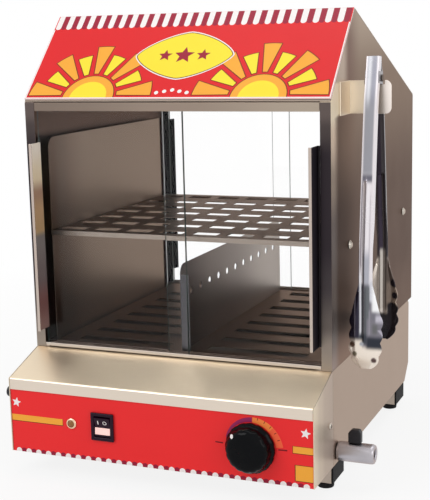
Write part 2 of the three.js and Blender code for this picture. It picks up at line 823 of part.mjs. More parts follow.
function addHeater() {
  const z = tankFloor - gap - heaterRadius;
  const front = tankFront + heaterMargin;
  const bendStart = tankRear - heaterMargin - heaterHalfWidth;
  const points = [[-heaterHalfWidth, front]];
  for (let i = heaterBendSteps; i >= 0; i -= 1) {
    const angle = (Math.PI * i) / heaterBendSteps;
    points.push([heaterHalfWidth * Math.cos(angle),
      bendStart + heaterHalfWidth * Math.sin(angle)]);
  }
  points.push([heaterHalfWidth, front]);
  const path = new THREE.CatmullRomCurve3(points.map(([x, y]) => new THREE.Vector3(x, y, z)));
  add('heating_element', tube(path, heaterSteps, heaterRadius, 0, heaterSides), darkSteel);
}

function ring(radius, sides) {
  const points = [];
  for (let i = 0; i < sides; i += 1) {
    const angle = (2 * Math.PI * (i + 0.5)) / sides;
    points.push([radius * Math.cos(angle), radius * Math.sin(angle)]);
  }
  return points;
}

function tube(path, steps, radius, bore, sides) {
  const section = outline(ring(radius, sides));
  if (bore > 0) section.holes.push(outline(ring(bore, sides).reverse()));
  return new THREE.ExtrudeGeometry(section, { steps, extrudePath: path, bevelEnabled: false });
}

function addDrain() {
  const top = tankFloor - gap;
  const bend = 2 * pipeRadius;
  const path = new THREE.CatmullRomCurve3([
    new THREE.Vector3(outletX, outletY, top),
    new THREE.Vector3(outletX, outletY, top - bend),
    new THREE.Vector3(outletX + bend / 2, (outletY + valveY) / 2, -valveDrop),
    new THREE.Vector3(half - bend, valveY, -valveDrop),
    new THREE.Vector3(half, valveY, -valveDrop),
  ]);
  add('drain_pipe', tube(path, pipeSteps, pipeRadius, pipeBore, pipeSides), steel);

  const start = half + gap;
  const end = start + valveLength;
  const body = turned('x', [
    [0, start],
    [valveRadius - valveChamfer, start],
    [valveRadius, start + valveChamfer],
    [valveRadius, end - valveChamfer],
    [valveRadius - valveChamfer, end],
    [spoutBore, end],
    [spoutBore, end - spoutDepth],
    [0, end - spoutDepth],
  ]);
  add('drain_valve_body', body, valveGrey).position.set(0, valveY, -valveDrop);

  const bottom = valveRadius + gap;
  const leverTop = bottom + leverHeight;
  const shape = outline([
    [-leverWidth / 2, bottom],
    [leverWidth / 2, bottom],
    [leverWidth / 2, leverTop - leverChamfer],
    [leverWidth / 2 - leverChamfer / 2, leverTop],
    [-leverWidth / 2 + leverChamfer, leverTop],
    [-leverWidth / 2, leverTop - leverChamfer],
  ]);
  const lever = add('drain_lever', prism('y', shape, [-leverDepth / 2, leverDepth / 2]), black);
  lever.position.set(half + leverReach, valveY, -valveDrop);
}

// Tongs

const tongX = half + tongReach;
const tongY = tabY + tabThickness / 2;
const tongZ = tabTop - tabNotch + gap + earRadius;

function addTab() {
  const wall = half + gap;
  const reach = half + tabReach;
  const rear = tabY + tabThickness;
  const path = [[reach, rear], [wall, rear], [wall, tabFlangeFront]];
  const bent = prism('z', fold(path, tabThickness), [tabTop - tabHeight, tabTop]);
  const rounded = roundedPlate([wall - tabCorner, reach], [tabTop - tabHeight, tabTop],
    tabCorner, true);
  const face = prism('y', rounded, [tabFlangeFront - overrun, rear + overrun]);
  const notch = block([tongX - tabNotchWidth / 2, tongX + tabNotchWidth / 2],
    [tabY - overrun, rear + overrun], [tabTop - tabNotch, tabTop + overrun]);
  add('tong_tab', cut(common(bent, face), notch), steel);
}

// The outline of a tong's head seen from the front, with lobes down its sides
function headOutline(headTop) {
  const neckShare = armWidth / 2 / tongHeadHalfWidth;
  const right = [];
  for (let i = 0; i <= headSteps; i += 1) {
    const s = i / headSteps;
    const below = (s - headFlareShare) / (1 - headFlareShare);
    let width = neckShare + (1 - headLobeShare - neckShare) * (s / headFlareShare);
    if (below > 0) {
      const lobe = Math.abs(Math.sin(headLobes * Math.PI * below));
      width = 1 - headLobeShare * (1 - lobe);
    }
    if (s > headRoundShare) {
      const fall = (s - headRoundShare) / (1 - headRoundShare);
      width *= Math.sqrt(1 - headTipShare * fall * fall);
    }
    right.push([width * tongHeadHalfWidth, headTop - s * tongHeadLength]);
  }
  const left = right.map(([x, z]) => [-x, z]).reverse();
  return outline([...right, ...left]);
}

// The line of an arm's web, down to a height below the pin
function webCurve(side, length, downTo) {
  const places = armWebShares.map(([out, down]) => [out * armBow, -down * length]);
  const points = [[armTailShare * armBow, armTail], ...places]
    .map(([out, z]) => new THREE.Vector3(0, side * out, z));
  const line = new THREE.CatmullRomCurve3(points).getPoints(armCurveSteps);
  const kept = line.filter((point) => point.z >= downTo).map((point) => [point.y, point.z]);
  return side < 0 ? kept : kept.reverse();
}

// One arm, with its web on side -1 (front) or +1 (rear) of the pin
function tongArm(side, width, length) {
  const headTop = tongHeadLength - length;
  const web = fold(webCurve(side, length, -length - overrun), tongSheet);
  const halfWidth = width / 2;
  const strip = prism('x', web, [-halfWidth, halfWidth]);
  const wide = prism('x', web, [-tongHeadHalfWidth, tongHeadHalfWidth]);
  const reach = armBow + overrun;
  const head = common(wide, prism('y', headOutline(headTop), [-reach, reach]));
  const upper = common(strip, block([-halfWidth, halfWidth], [-reach, reach],
    [headTop - tongSheet, armTail + overrun]));
  const flangeShape = fold(webCurve(side, length, -armFlangeShare * length), armFlange);
  const flanges = [-1, 1].map((hand) => prism('x', flangeShape,
    span(hand, halfWidth - armFlangeThickness, halfWidth)));
  const ears = [-1, 1].map((hand) => {
    const across = span(hand, halfWidth - armFlangeThickness, halfWidth);
    const out = armWebShares[0][0] * armBow - tongSheet / 2;
    const bridge = block(across, side < 0 ? [-out, 0] : [0, out], [-earRadius, earRadius]);
    return join(bridge, rod('x', earRadius, across));
  });
  const hole = rod('x', pinRadius + gap, [-armWidth, armWidth]);
  return cut(join(upper, head, ...flanges, ...ears), hole);
}

function addTongs() {
  const open = THREE.MathUtils.degToRad(tongOpenDegrees);
  const front = add('tong_front_arm', tongArm(-1, armWidth, armLength), steel);
  front.position.set(tongX, tongY, tongZ);
  front.rotation.x = -open;
  const nested = armWidth - 2 * (armFlangeThickness + armSideClearance);
  const rear = add('tong_rear_arm', tongArm(1, nested, rearArmLength), steel);
  rear.position.set(tongX, tongY, tongZ);
  rear.rotation.x = open;
  const headStart = armWidth / 2 + gap;
  const pin = turned('x', [
    [0, -headStart - pinHeadThickness],
    [pinHeadRadius, -headStart - pinHeadThickness],
    [pinHeadRadius, -headStart],
    [pinRadius, -headStart],
    [pinRadius, headStart],
    [pinHeadRadius, headStart],
    [pinHeadRadius, headStart + pinHeadThickness],
    [0, headStart + pinHeadThickness],
  ]);
  add('tong_pin', pin, steel).position.set(tongX, tongY, tongZ);
}

addCabinetSide(-1, 'cabinet_left_side');
addCabinetSide(1, 'cabinet_right_side');
addRoof();
addTracks();
addDoors();
addLiner(-1, 'left_liner');
addLiner(1, 'right_liner');
addPegs();
addShelves();
addDivider();
addDeck();
addCheek(-1, 'left_cheek');
addCheek(1, 'right_cheek');
addBaseSide(-1, 'base_left_panel');
addBaseSide(1, 'base_right_panel');
addBaseRear();
addBaseFloor();
addControlPanel();
addLamp();
addSwitch();
addThermostat();
addKnob();
addGland();
addRails();
addTank();
addHeater();
addDrain();
addTab();
addTongs();

// The origin is under the middle of the steamer's own bounding box
steamer.updateMatrixWorld(true);
const bounds = new THREE.Box3().setFromObject(steamer, true);
const middle = bounds.getCenter(new THREE.Vector3());
steamer.position.set(-middle.x, -middle.y, -bounds.min.z);
steamer.updateMatrixWorld(true);

export default steamer;
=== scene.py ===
"""Looks of a countertop hot dog steamer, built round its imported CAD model.

Places inside the steamer are given in millimetres from the cabinet's front plane (Y), the seam
between base and cabinet (Z) and the middle of the cabinet (X), and at() turns them into metres.
"""

import math

import bpy
from mathutils import Matrix, Vector


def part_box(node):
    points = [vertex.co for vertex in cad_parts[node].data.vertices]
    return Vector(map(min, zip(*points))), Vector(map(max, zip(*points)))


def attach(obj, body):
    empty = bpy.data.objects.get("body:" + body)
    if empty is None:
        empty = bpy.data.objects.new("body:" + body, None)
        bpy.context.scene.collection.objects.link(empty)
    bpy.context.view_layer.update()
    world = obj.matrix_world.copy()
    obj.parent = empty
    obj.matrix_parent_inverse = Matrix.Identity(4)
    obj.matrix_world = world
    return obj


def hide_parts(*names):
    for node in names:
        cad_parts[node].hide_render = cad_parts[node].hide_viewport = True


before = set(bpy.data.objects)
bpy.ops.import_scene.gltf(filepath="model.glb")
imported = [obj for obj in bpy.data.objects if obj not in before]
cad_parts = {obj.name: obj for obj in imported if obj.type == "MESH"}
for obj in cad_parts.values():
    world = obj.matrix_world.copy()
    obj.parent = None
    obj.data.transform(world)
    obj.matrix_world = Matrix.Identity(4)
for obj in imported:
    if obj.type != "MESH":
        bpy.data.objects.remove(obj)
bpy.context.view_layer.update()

bl_info = {
    "name": "Hot Dog Steamer",
    "version": (1, 0, 0),
    "blender": (4, 5, 0),
    "location": "3D View > Sidebar > Steamer",
    "description": "Builds the finishes and the modelled pieces of a countertop hot dog steamer",
    "category": "Add Mesh",
}

# Shared units and places, from the frame

MM = 0.001
LEFT_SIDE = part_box("cabinet_left_side")
RIGHT_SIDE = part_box("cabinet_right_side")
MIDDLE = (LEFT_SIDE[0].x + RIGHT_SIDE[1].x) / 2
FRONT = LEFT_SIDE[0].y
SEAM = LEFT_SIDE[0].z
HALF_WIDTH = (RIGHT_SIDE[1].x - MIDDLE) / MM
PANEL_FACE = (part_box("control_panel")[0].y - FRONT) / MM


def at(x, y, z):
    """A place given in the steamer's own millimetres, as a point of the frame in metres."""
    return Vector((MIDDLE + x * MM, FRONT + y * MM, SEAM + z * MM))


def placed(x, y, z, turn=Matrix.Identity(4)):
    """A matrix for a piece that is made in millimetres: turned, then put at a place."""
    return Matrix.Translation(at(x, y, z)) @ turn @ Matrix.Scale(MM, 4)


def tint(*screen):
    """A colour as it looks on a screen, 0 to 255, made linear."""
    return tuple(c / 12.92 if c <= 0.04045 else ((c + 0.055) / 1.055) ** 2.4
                 for c in (value / 255 for value in screen))


# Settings that a user would change


def length_setting(name, description, default, low, high):
    return bpy.props.FloatProperty(name=name, description=description, default=default,
                                   min=low, max=high, unit="LENGTH")


def colour_setting(name, description, *screen):
    return bpy.props.FloatVectorProperty(name=name, description=description, subtype="COLOR",
                                         size=3, min=0, max=1, default=tint(*screen))


class SteamerSizes(bpy.types.PropertyGroup):
    edge: length_setting("Sheet edge", "Rounding along the edges of the sheet metal",
                         0.00035, 0.0001, 0.0005)
    bend: length_setting("Bend radius", "Outer radius of the folds of the serving deck",
                         0.0026, 0.0012, 0.006)
    moulding: length_setting("Moulded edge", "Rounding along the edges of plastic pieces",
                             0.0009, 0.0002, 0.002)
    stripe: length_setting("Awning stripe", "Width of one stripe of the band along the ridge",
                           0.00725, 0.003, 0.02)
    film: length_setting("Print film", "Thickness of one layer of the printed film",
                         0.00006, 0.00003, 0.0002)
    screw_radius: length_setting("Screw head", "Radius of the pan head screws",
                                 0.004, 0.002, 0.008)


class SteamerColours(bpy.types.PropertyGroup):
    red: colour_setting("Red film", "Ground colour of the sign", 224, 36, 40)
    crimson: colour_setting("Crimson print", "Dark stripes of the awning band", 158, 30, 56)
    white: colour_setting("White print", "White stripes, stars and lines", 245, 240, 238)
    yellow: colour_setting("Yellow print", "Yellow parts of the sign", 250, 228, 60)
    orange: colour_setting("Orange print", "Orange parts of the sign and the panel", 247, 172, 60)
    outline: colour_setting("Dark outline", "Thin dark lines round the prints", 120, 42, 26)
    deck: colour_setting("Deck steel", "Warm steel of the serving deck", 250, 234, 208)
    base: colour_setting("Base steel", "Steel of the base's sides", 172, 158, 146)


def sizes():
    return bpy.context.scene.steamer_sizes


def colours():
    return bpy.context.scene.steamer_colours


# Modelling helpers


def deselect():
    if bpy.context.object and bpy.context.object.mode != "OBJECT":
        bpy.ops.object.mode_set(mode="OBJECT")
    bpy.ops.object.select_all(action="DESELECT")


def choose(*pieces):
    deselect()
    for piece in pieces:
        piece.select_set(True)
    bpy.context.view_layer.objects.active = pieces[0]


def settle(piece, matrix=None):
    """Puts a piece's place into its mesh, with the object left at the origin."""
    if matrix is not None:
        piece.matrix_world = matrix
    choose(piece)
    bpy.ops.object.transform_apply(location=True, rotation=True, scale=True)
    return piece


def edit(piece, *steps):
    """Runs edit mode steps on a piece with everything selected at the start of each."""
    choose(piece)
    bpy.ops.object.mode_set(mode="EDIT")
    for step in steps:
        bpy.ops.mesh.select_all(action="SELECT")
        step()
    bpy.ops.object.mode_set(mode="OBJECT")
    return piece


def edit_lines(piece, test, step):
    """Runs an edit mode step on the edges that pass a test."""
    choose(piece)
    bpy.ops.object.mode_set(mode="EDIT")
    bpy.ops.mesh.select_mode(type="EDGE")
    bpy.ops.mesh.select_all(action="DESELECT")
    bpy.ops.object.mode_set(mode="OBJECT")
    for line in piece.data.edges:
        line.select = test(line)
    bpy.ops.object.mode_set(mode="EDIT")
    step()
    bpy.ops.object.mode_set(mode="OBJECT")


def outward():
    bpy.ops.mesh.normals_make_consistent(inside=False)


def modify(piece, kind, **settings):
    """Adds a modifier, sets it and applies it."""
    choose(piece)
    modifier = piece.modifiers.new(kind.title(), kind)
    for key, value in settings.items():
        setattr(modifier, key, value)
    bpy.ops.object.modifier_apply(modifier=modifier.name)
    return piece


def bevel(piece, width, segments=2, angle=30):
    return modify(piece, "BEVEL", width=width, segments=segments, limit_method="ANGLE",
                  angle_limit=math.radians(angle), use_clamp_overlap=True)


def thicken(piece, thickness, offset=1.0):
    return modify(piece, "SOLIDIFY", thickness=thickness, offset=offset)


def joined(*pieces):
    choose(*pieces)
    if len(pieces) > 1:
        bpy.ops.object.join()
    return bpy.context.view_layer.objects.active


def linked(name, data):
    """A new object in the scene."""
    made = bpy.data.objects.new(name, data)
    bpy.context.collection.objects.link(made)
    return made


def twin(piece, matrix):
    """A mirrored copy of a piece with its own mesh, moved by a matrix that goes into it."""
    copy = settle(linked(piece.name, piece.data.copy()), matrix)
    return edit(copy, outward)


def merged_copy(node):
    """A copy of a CAD node's mesh with its loose triangles merged into clean faces."""
    piece = linked(node + "_dressed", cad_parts[node].data.copy())
    piece.data.materials.clear()
    choose(piece)
    bpy.ops.mesh.customdata_custom_splitnormals_clear()
    edit(piece, lambda: bpy.ops.mesh.remove_doubles(threshold=0.00001),
         lambda: bpy.ops.mesh.dissolve_limited(angle_limit=math.radians(0.5)))
    return piece


def done(name, piece, *finishes, angle=50, weighted=True, finish_of=None):
    """Names a piece, smooths it and gives it its finishes; finish_of numbers a face's own."""
    piece.name = name
    piece.data.name = name
    choose(piece)
    bpy.ops.object.shade_smooth_by_angle(angle=math.radians(angle))
    if weighted:
        modify(piece, "WEIGHTED_NORMAL", keep_sharp=True)
    piece.data.materials.clear()
    for finish in finishes:
        piece.data.materials.append(finish)
    if finish_of:
        for face in piece.data.polygons:
            face.material_index = finish_of(face)
    return piece


def carried(piece, body, node=None):
    """Makes a piece ride on a body, and stand for a node if one is named."""
    if node:
        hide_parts(node)
    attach(piece, body)
    return piece


def dressed(node, slot, *finishes, body="housing", width=None, segments=2, angle=30,
            name=None, finish_of=None):
    """The CAD node with its sharp edges rounded, in its own finishes."""
    piece = bevel(merged_copy(node), width or sizes().edge, segments, angle)
    done(name or node + "_dressed", piece, *finishes, finish_of=finish_of)
    return carried(piece, body, node)


def kept(node, finish):
    """A CAD node that stays as it is and gets a finish in its own material slots."""
    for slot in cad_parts[node].material_slots:
        slot.material = finish


def polygon(points):
    """A flat face from a filled circle whose corners are moved to the given points."""
    deselect()
    bpy.ops.mesh.primitive_circle_add(vertices=len(points), radius=1, fill_type="NGON")
    piece = bpy.context.object
    for vertex, (x, y) in zip(piece.data.vertices, points):
        vertex.co = (x, y, 0)
    edit(piece, outward)
    if piece.data.polygons[0].normal.z < 0:
        edit(piece, bpy.ops.mesh.flip_normals)
    return piece


def turned(profile, sides, matrix=None):
    """A turned piece: a line of (radius, height) points in millimetres, spun about Z."""
    deselect()
    bpy.ops.mesh.primitive_circle_add(vertices=len(profile), radius=1, fill_type="NOTHING")
    piece = bpy.context.object
    for vertex, (radius, height) in zip(piece.data.vertices, profile):
        vertex.co = (radius, 0, height)
    ends = {0, len(profile) - 1}
    if all(profile[end][0] == 0 for end in ends):
        edit_lines(piece, lambda line: set(line.vertices) == ends,
                   lambda: bpy.ops.mesh.delete(type="EDGE"))
    edit(piece,
         lambda: bpy.ops.mesh.spin(steps=sides, angle=2 * math.pi, center=(0, 0, 0),
                                   axis=(0, 0, 1)),
         lambda: bpy.ops.mesh.remove_doubles(threshold=0.001), outward)
    return settle(piece, matrix)


# Shader nodes

FINISHES = {}


def once(make):
    """Makes a finish when its name is first asked for, and finds it again after that."""
    def found(name, *given, **settings):
        if name not in FINISHES:
            FINISHES[name] = make(name, *given, **settings)
        return FINISHES[name]
    return found


def feed(tree, node, **inputs):
    """Sets or links a node's inputs, by name with _ for a space or by place as i0 and i1."""
    for name, value in inputs.items():
        key = name.replace("_", " ")
        socket = node.inputs[key] if key in node.inputs else node.inputs[int(key[1:])]
        if isinstance(value, bpy.types.NodeSocket):
            tree.links.new(value, socket)
        else:
            socket.default_value = value


def nodes_of(tree):
    """A short way to add a node, set its operation and feed its inputs."""
    def add(kind, operation=None, **inputs):
        node = tree.nodes.new("ShaderNode" + kind)
        if operation:
            node.operation = operation
        feed(tree, node, **inputs)
        return node
    return add


def start_finish(name):
    finish = bpy.data.materials.new(name)
    finish.use_nodes = True
    tree = finish.node_tree
    return finish, tree, tree.nodes["Principled BSDF"], nodes_of(tree)


def own_place(add):
    """The place on the piece, in its own metres."""
    return add("TexCoord").outputs["Object"]


def noise(add, place, scale, detail=2.0, roughness=0.5):
    found = add("TexNoise", Vector=place, Scale=scale, Detail=detail, Roughness=roughness)
    return found.outputs["Fac"]


def spread(add, value, low=0.0, high=1.0, first=0.0, last=1.0):
    """A value that lies between low and high, spread from first to last."""
    return add("MapRange", Value=value, From_Min=low, From_Max=high, To_Min=first,
               To_Max=last).outputs[0]


def new_group(name, inputs, outputs):
    """A node group with named inputs, each with its default, and named number outputs."""
    tree = bpy.data.node_groups.new(name, "ShaderNodeTree")
    for label, default in inputs.items():
        kind = "NodeSocketVector" if isinstance(default, tuple) else "NodeSocketFloat"
        socket = tree.interface.new_socket(label, in_out="INPUT", socket_type=kind)
        socket.default_value = default
    for label in outputs:
        tree.interface.new_socket(label, in_out="OUTPUT", socket_type="NodeSocketFloat")
    return tree, tree.nodes.new("NodeGroupInput"), tree.nodes.new("NodeGroupOutput")


def brushed_group():
    """Fine lines of brushing, soft clouding and smudges, on the piece's own coordinates."""
    tree, given, result = new_group(
        "Brushed Sheet",
        {"Grain Scale": (40, 40, 2600), "Cloud Scale": 9.0, "Grain Contrast": 0.12,
         "Cloud Contrast": 0.12},
        ["Shade", "Height", "Smudge"])
    add = nodes_of(tree)
    place = own_place(add)
    stretched = add("VectorMath", "MULTIPLY", i0=place, i1=given.outputs["Grain Scale"])
    fine = noise(add, stretched.outputs[0], 1.0, 3.0, 0.65)
    cloud = noise(add, place, given.outputs["Cloud Scale"])
    shade = 1.0
    for source, contrast in ((fine, "Grain Contrast"), (cloud, "Cloud Contrast")):
        centred = add("Math", "SUBTRACT", i0=source, i1=0.5).outputs[0]
        swing = add("Math", "MULTIPLY", i0=centred, i1=given.outputs[contrast]).outputs[0]
        shade = add("Math", "ADD", i0=swing, i1=shade).outputs[0]
    smudge = spread(add, noise(add, place, 18.0, 1.5), 0.25, 0.8)
    feed(tree, result, Shade=shade, Height=fine, Smudge=smudge)
    return tree


def moulded_group():
    """The fine unevenness of moulded plastic and rubber, with a little dust on it."""
    tree, given, result = new_group("Moulded Skin", {"Scale": 900.0, "Dust": 0.15},
                                    ["Height", "Dust Mask"])
    add = nodes_of(tree)
    place = own_place(add)
    skin = noise(add, place, given.outputs["Scale"])
    dust = spread(add, noise(add, place, 55.0, 6.0, 0.7), 0.5, 0.75)
    mask = add("Math", "MULTIPLY", i0=dust, i1=given.outputs["Dust"])
    feed(tree, result, Height=skin, Dust_Mask=mask.outputs[0])
    return tree


def group_node(add, tree, name, maker, **settings):
    """A node that shows a group, which is made when it is first needed."""
    node = add("Group")
    node.node_tree = bpy.data.node_groups.get(name) or maker()
    feed(tree, node, **settings)
    return node


def brushed(add, tree, shader, ground, smooth, rough, **settings):
    """Brushing over a ground colour, with a roughness that follows the smudges."""
    group = group_node(add, tree, "Brushed Sheet", brushed_group, **settings)
    shaded = add("VectorMath", "SCALE", i0=ground, Scale=group.outputs["Shade"])
    feed(tree, shader, Base_Color=shaded.outputs[0],
         Roughness=spread(add, group.outputs["Smudge"], first=smooth, last=rough))
    return group


def raised(add, group, strength, distance):
    """A bump that follows a group's height, as a normal."""
    bump = add("Bump", Height=group.outputs["Height"], Strength=strength, Distance=distance)
    return bump.outputs[0]


def ramp_along(add, axis, low, high, stops):
    """A colour that changes with the place along one axis, between two places in metres."""
    split = add("SeparateXYZ", Vector=own_place(add))
    ramp = add("ValToRGB", Fac=spread(add, split.outputs[axis], low, high))
    band = ramp.color_ramp
    band.interpolation = "EASE"
    while len(band.elements) < len(stops):
        band.elements.new(0.5)
    for element, (position, colour) in zip(band.elements, stops):
        element.position = position
        element.color = (*colour, 1)
    return ramp.outputs["Color"]


def mottle(add, value, first, second):
    """A colour that goes from the first to the second with a value."""
    ramp = add("ValToRGB", Fac=value)
    for element, colour in zip(ramp.color_ramp.elements, (first, second)):
        element.color = (*colour, 1)
    return ramp.outputs["Color"]


def mixed(add, tree, share, first, second):
    """A mix of two colours, each a socket or a plain colour."""
    mix = add("Mix")
    mix.data_type = "RGBA"
    tree.links.new(share, mix.inputs["Factor"])
    for socket, colour in zip([s for s in mix.inputs if s.type == "RGBA"], (first, second)):
        if isinstance(colour, bpy.types.NodeSocket):
            tree.links.new(colour, socket)
        else:
            socket.default_value = (*colour, 1)
    return [s for s in mix.outputs if s.type == "RGBA"][0]


def blended(add, tree, share, first, second):
    """Sends a mix of two shaders to the material's surface."""
    mix = add("MixShader", Fac=share, i1=first.outputs[0], i2=second.outputs[0])
    tree.links.new(mix.outputs[0], tree.nodes["Material Output"].inputs["Surface"])


# Finishes of whole kinds of pieces

# The painted reflection of the tongs' tab: a pale strip by the right side's front fold, which
# widens at the height of the tab
TAB_FOOT, TAB_BLEND = 280.0, 10.0
STRIP_START, STRIP_END = 8.0, 32.0
TAB_STRIP_START, TAB_STRIP_END = 46.0, 74.0
SHADE_START, SHADE_END = 60.0, 125.0
STRIP_METAL = 0.35


def painted_fold_reflection(add, tree, ground, low, high, strip, behind):
    """Painted reflections on the side sheet beside its front fold: a pale strip for the tab's
    reflection, then a darker zone of painted shade.
    """
    split = add("SeparateXYZ", Vector=own_place(add))

    def step(axis, start, end, first=0.0, last=1.0):
        found = add("MapRange", Value=split.outputs[axis], From_Min=start, From_Max=end,
                    To_Min=first, To_Max=last)
        found.interpolation_type = "SMOOTHSTEP"
        return found.outputs[0]

    foot, head = SEAM + TAB_FOOT * MM, SEAM + (TAB_FOOT + TAB_BLEND) * MM
    near = step("Z", foot, head, FRONT + STRIP_START * MM, FRONT + TAB_STRIP_START * MM)
    far = step("Z", foot, head, FRONT + STRIP_END * MM, FRONT + TAB_STRIP_END * MM)
    back = step("Y", FRONT + SHADE_START * MM, FRONT + SHADE_END * MM)
    inner = mixed(add, tree, back, ramp_along(add, "Z", low, high, behind), ground)
    share = step("Y", near, far)
    pale = ramp_along(add, "Z", low, high, strip)
    return mixed(add, tree, share, pale, inner), spread(add, share, first=STRIP_METAL)


FINE_GRAIN, COARSE_GRAIN = 2600.0, 30.0
SMUDGE_ROUGHNESS = 0.06


@once
def sheet_steel(name, ground, grain, roughness=0.3, grain_contrast=0.12, cloud_contrast=0.12,
                rim=0.9, cloud_scale=9.0, along=None, front_light=None, metal=1.0):
    """Brushed sheet: grain is the axis that the brushing runs along."""
    finish, tree, shader, add = start_finish(name)
    if along:
        ground = ramp_along(add, *along)
    if front_light:
        ground, metal = painted_fold_reflection(add, tree, ground, along[1], along[2], *front_light)
    scale = [COARSE_GRAIN if axis == grain else FINE_GRAIN for axis in "XYZ"]
    group = brushed(add, tree, shader, ground, roughness, roughness + SMUDGE_ROUGHNESS,
                    Grain_Scale=scale, Cloud_Scale=cloud_scale, Grain_Contrast=grain_contrast,
                    Cloud_Contrast=cloud_contrast)
    feed(tree, shader, Normal=raised(add, group, 0.06, 0.0002), Metallic=metal,
         Specular_Tint=(rim, rim * 0.87, rim * 0.8, 1))
    return finish


@once
def moulded(name, colour, roughness, skin=900.0, bump=0.05, dust=0.1, gloss=0.3):
    finish, tree, shader, add = start_finish(name)
    group = group_node(add, tree, "Moulded Skin", moulded_group, Scale=skin, Dust=dust)
    mask = group.outputs["Dust Mask"]
    feed(tree, shader, Base_Color=mixed(add, tree, mask, colour, tint(150, 140, 130)),
         Roughness=spread(add, mask, first=roughness, last=min(1.0, roughness + 0.5)),
         Normal=raised(add, group, bump, 0.0001), Specular_IOR_Level=gloss)
    return finish


@once
def printed(name, colour):
    """Ink on a glossy film: an even colour with a faint cloudiness."""
    finish, tree, shader, add = start_finish(name)
    brushed(add, tree, shader, colour, 0.26, 0.4, Grain_Scale=(700, 700, 700),
            Cloud_Scale=14.0, Grain_Contrast=0.05, Cloud_Contrast=0.07)
    feed(tree, shader, Specular_IOR_Level=0.2)
    return finish


@once
def clear_glass(name):
    """Glass that lets light and shadow through, with a faint haze."""
    finish, tree, shader, add = start_finish(name)
    haze = spread(add, noise(add, own_place(add), 30.0, 4.0), 0.45, 0.8, last=0.03)
    feed(tree, shader, Base_Color=(1, 1, 1, 1), Transmission_Weight=1.0, IOR=1.45,
         Specular_Tint=(0.15, 0.15, 0.15, 1), Roughness=haze)
    path = add("LightPath")
    through = add("Math", "MAXIMUM", i0=path.outputs["Is Shadow Ray"],
                  i1=path.outputs["Is Diffuse Ray"])
    blended(add, tree, through.outputs[0], shader, add("BsdfTransparent"))
    return finish


@once
def lit_plastic(name, colour, glow, strength):
    """Clear coloured plastic with a weak lamp behind it."""
    finish, tree, shader, add = start_finish(name)
    shade = mottle(add, noise(add, own_place(add), 700.0), [c * 0.8 for c in colour], colour)
    feed(tree, shader, Base_Color=shade, Roughness=0.2, Emission_Color=(*glow, 1),
         Emission_Strength=strength)
    return finish


@once
def pressed_steel(name):
    """Polished sheet coloured by the mesh's painted light colours: painted reflections, highlights
    and shade.
    """
    finish, tree, shader, add = start_finish(name)
    painted_light = add("Attribute")
    painted_light.attribute_name = "Shine"
    brushed(add, tree, shader, painted_light.outputs["Color"], 0.2, 0.3,
            Grain_Scale=(1800.0, 1800.0, 30.0), Grain_Contrast=0.08)
    feed(tree, shader, Metallic=0.55)
    return finish


# Finishes of single pieces

# Brushed sheets of one tone: screen colour, brushing axis, roughness, contrasts of the grain
# and of the clouds, and how bright the metal's rim is
PLAIN_SHEETS = {
    "Inner Side Steel": ((112, 94, 86), "Z", 0.4, 0.1, 0.2, 0.5),
    # Near black: painted shade on the rear posts and the rear pulls
    "Rear Post Steel": ((12, 14, 20), "Z", 0.3, 0.1, 0.2, 0.05),
    # The divider's front fold, darker than the divider: painted shade
    "Divider Fold Steel": ((84, 82, 86), "Z", 0.3, 0.1, 0.2, 0.9),
    "Inner Steel": ((128, 120, 114), "Z", 0.36, 0.1, 0.2, 0.9),
    "Liner Steel": ((126, 109, 98), "Y", 0.34, 0.1, 0.2, 0.5),
    "Lip Steel": ((222, 209, 194), "X", 0.28, 0.08, 0.08, 0.9),
    # Painted highlight along the front pulls' finger lips
    "Pull Lip Steel": ((194, 180, 170), "Z", 0.24, 0.12, 0.12, 0.9),
    "Lamp Ring Steel": ((236, 204, 172), "X", 0.25, 0.12, 0.12, 0.9),
    "Tong Steel": ((205, 205, 208), "Z", 0.2, 0.08, 0.1, 0.9),
    "Bright Steel": ((190, 182, 172), "Y", 0.2, 0.08, 0.1, 0.9),
    "Heat Darkened Steel": ((104, 96, 90), "X", 0.4, 0.1, 0.3, 0.9),
}


def plain(name):
    tone, *looks = PLAIN_SHEETS[name]
    return sheet_steel(name, tint(*tone), *looks)


def graded(name, node, axis, grain, stops, *looks, **settings):
    """Brushed sheet whose tone runs along one axis of a node's box, through shares of it."""
    low, high = (corner["XYZ".index(axis)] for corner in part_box(node))
    tones = [(share, tint(*tone)) for share, tone in stops]
    return sheet_steel(name, None, grain, *looks, along=(axis, low, high, tones), **settings)


def side_steel(side):
    """The right side, beside the tab and the tongs, has painted reflections near its front fold:
    the tab's pale reflection, and painted shade behind it.
    """
    # Tone up both sides, darkest low down and much lighter at the top: painted reflection and
    # shade
    stops = [(0.0, (110, 94, 87)), (0.22, (94, 81, 77)), (0.43, (97, 84, 79)),
             (0.8, (144, 129, 117)), (1.0, (188, 175, 161))]
    looks = (f"cabinet_{side}_side", "Z", "Z", stops, 0.36, 0.16, 0.2, 0.7)
    if side == "left":
        return graded("Plain Side Steel", *looks)
    # Painted reflection of the tongs' tab, up the pale strip by the front fold
    strip = [(0.0, tint(146, 126, 118)), (0.09, tint(98, 88, 84)), (0.32, tint(78, 66, 62)),
             (0.4, tint(86, 73, 69)), (0.53, tint(150, 132, 116)), (0.66, tint(232, 208, 184)),
             (0.715, tint(255, 240, 212)), (0.795, tint(255, 236, 208)),
             (0.805, tint(200, 180, 162)), (1.0, tint(186, 166, 150))]
    # Painted shade in the zone behind the pale strip
    behind = [(0.0, tint(140, 119, 108)), (0.12, tint(75, 64, 61)), (0.42, tint(67, 58, 57)),
              (0.66, tint(124, 106, 95)), (0.9, tint(130, 109, 104)), (1.0, tint(158, 140, 132))]
    return graded("Cabinet Side Steel", *looks, front_light=(strip, behind))


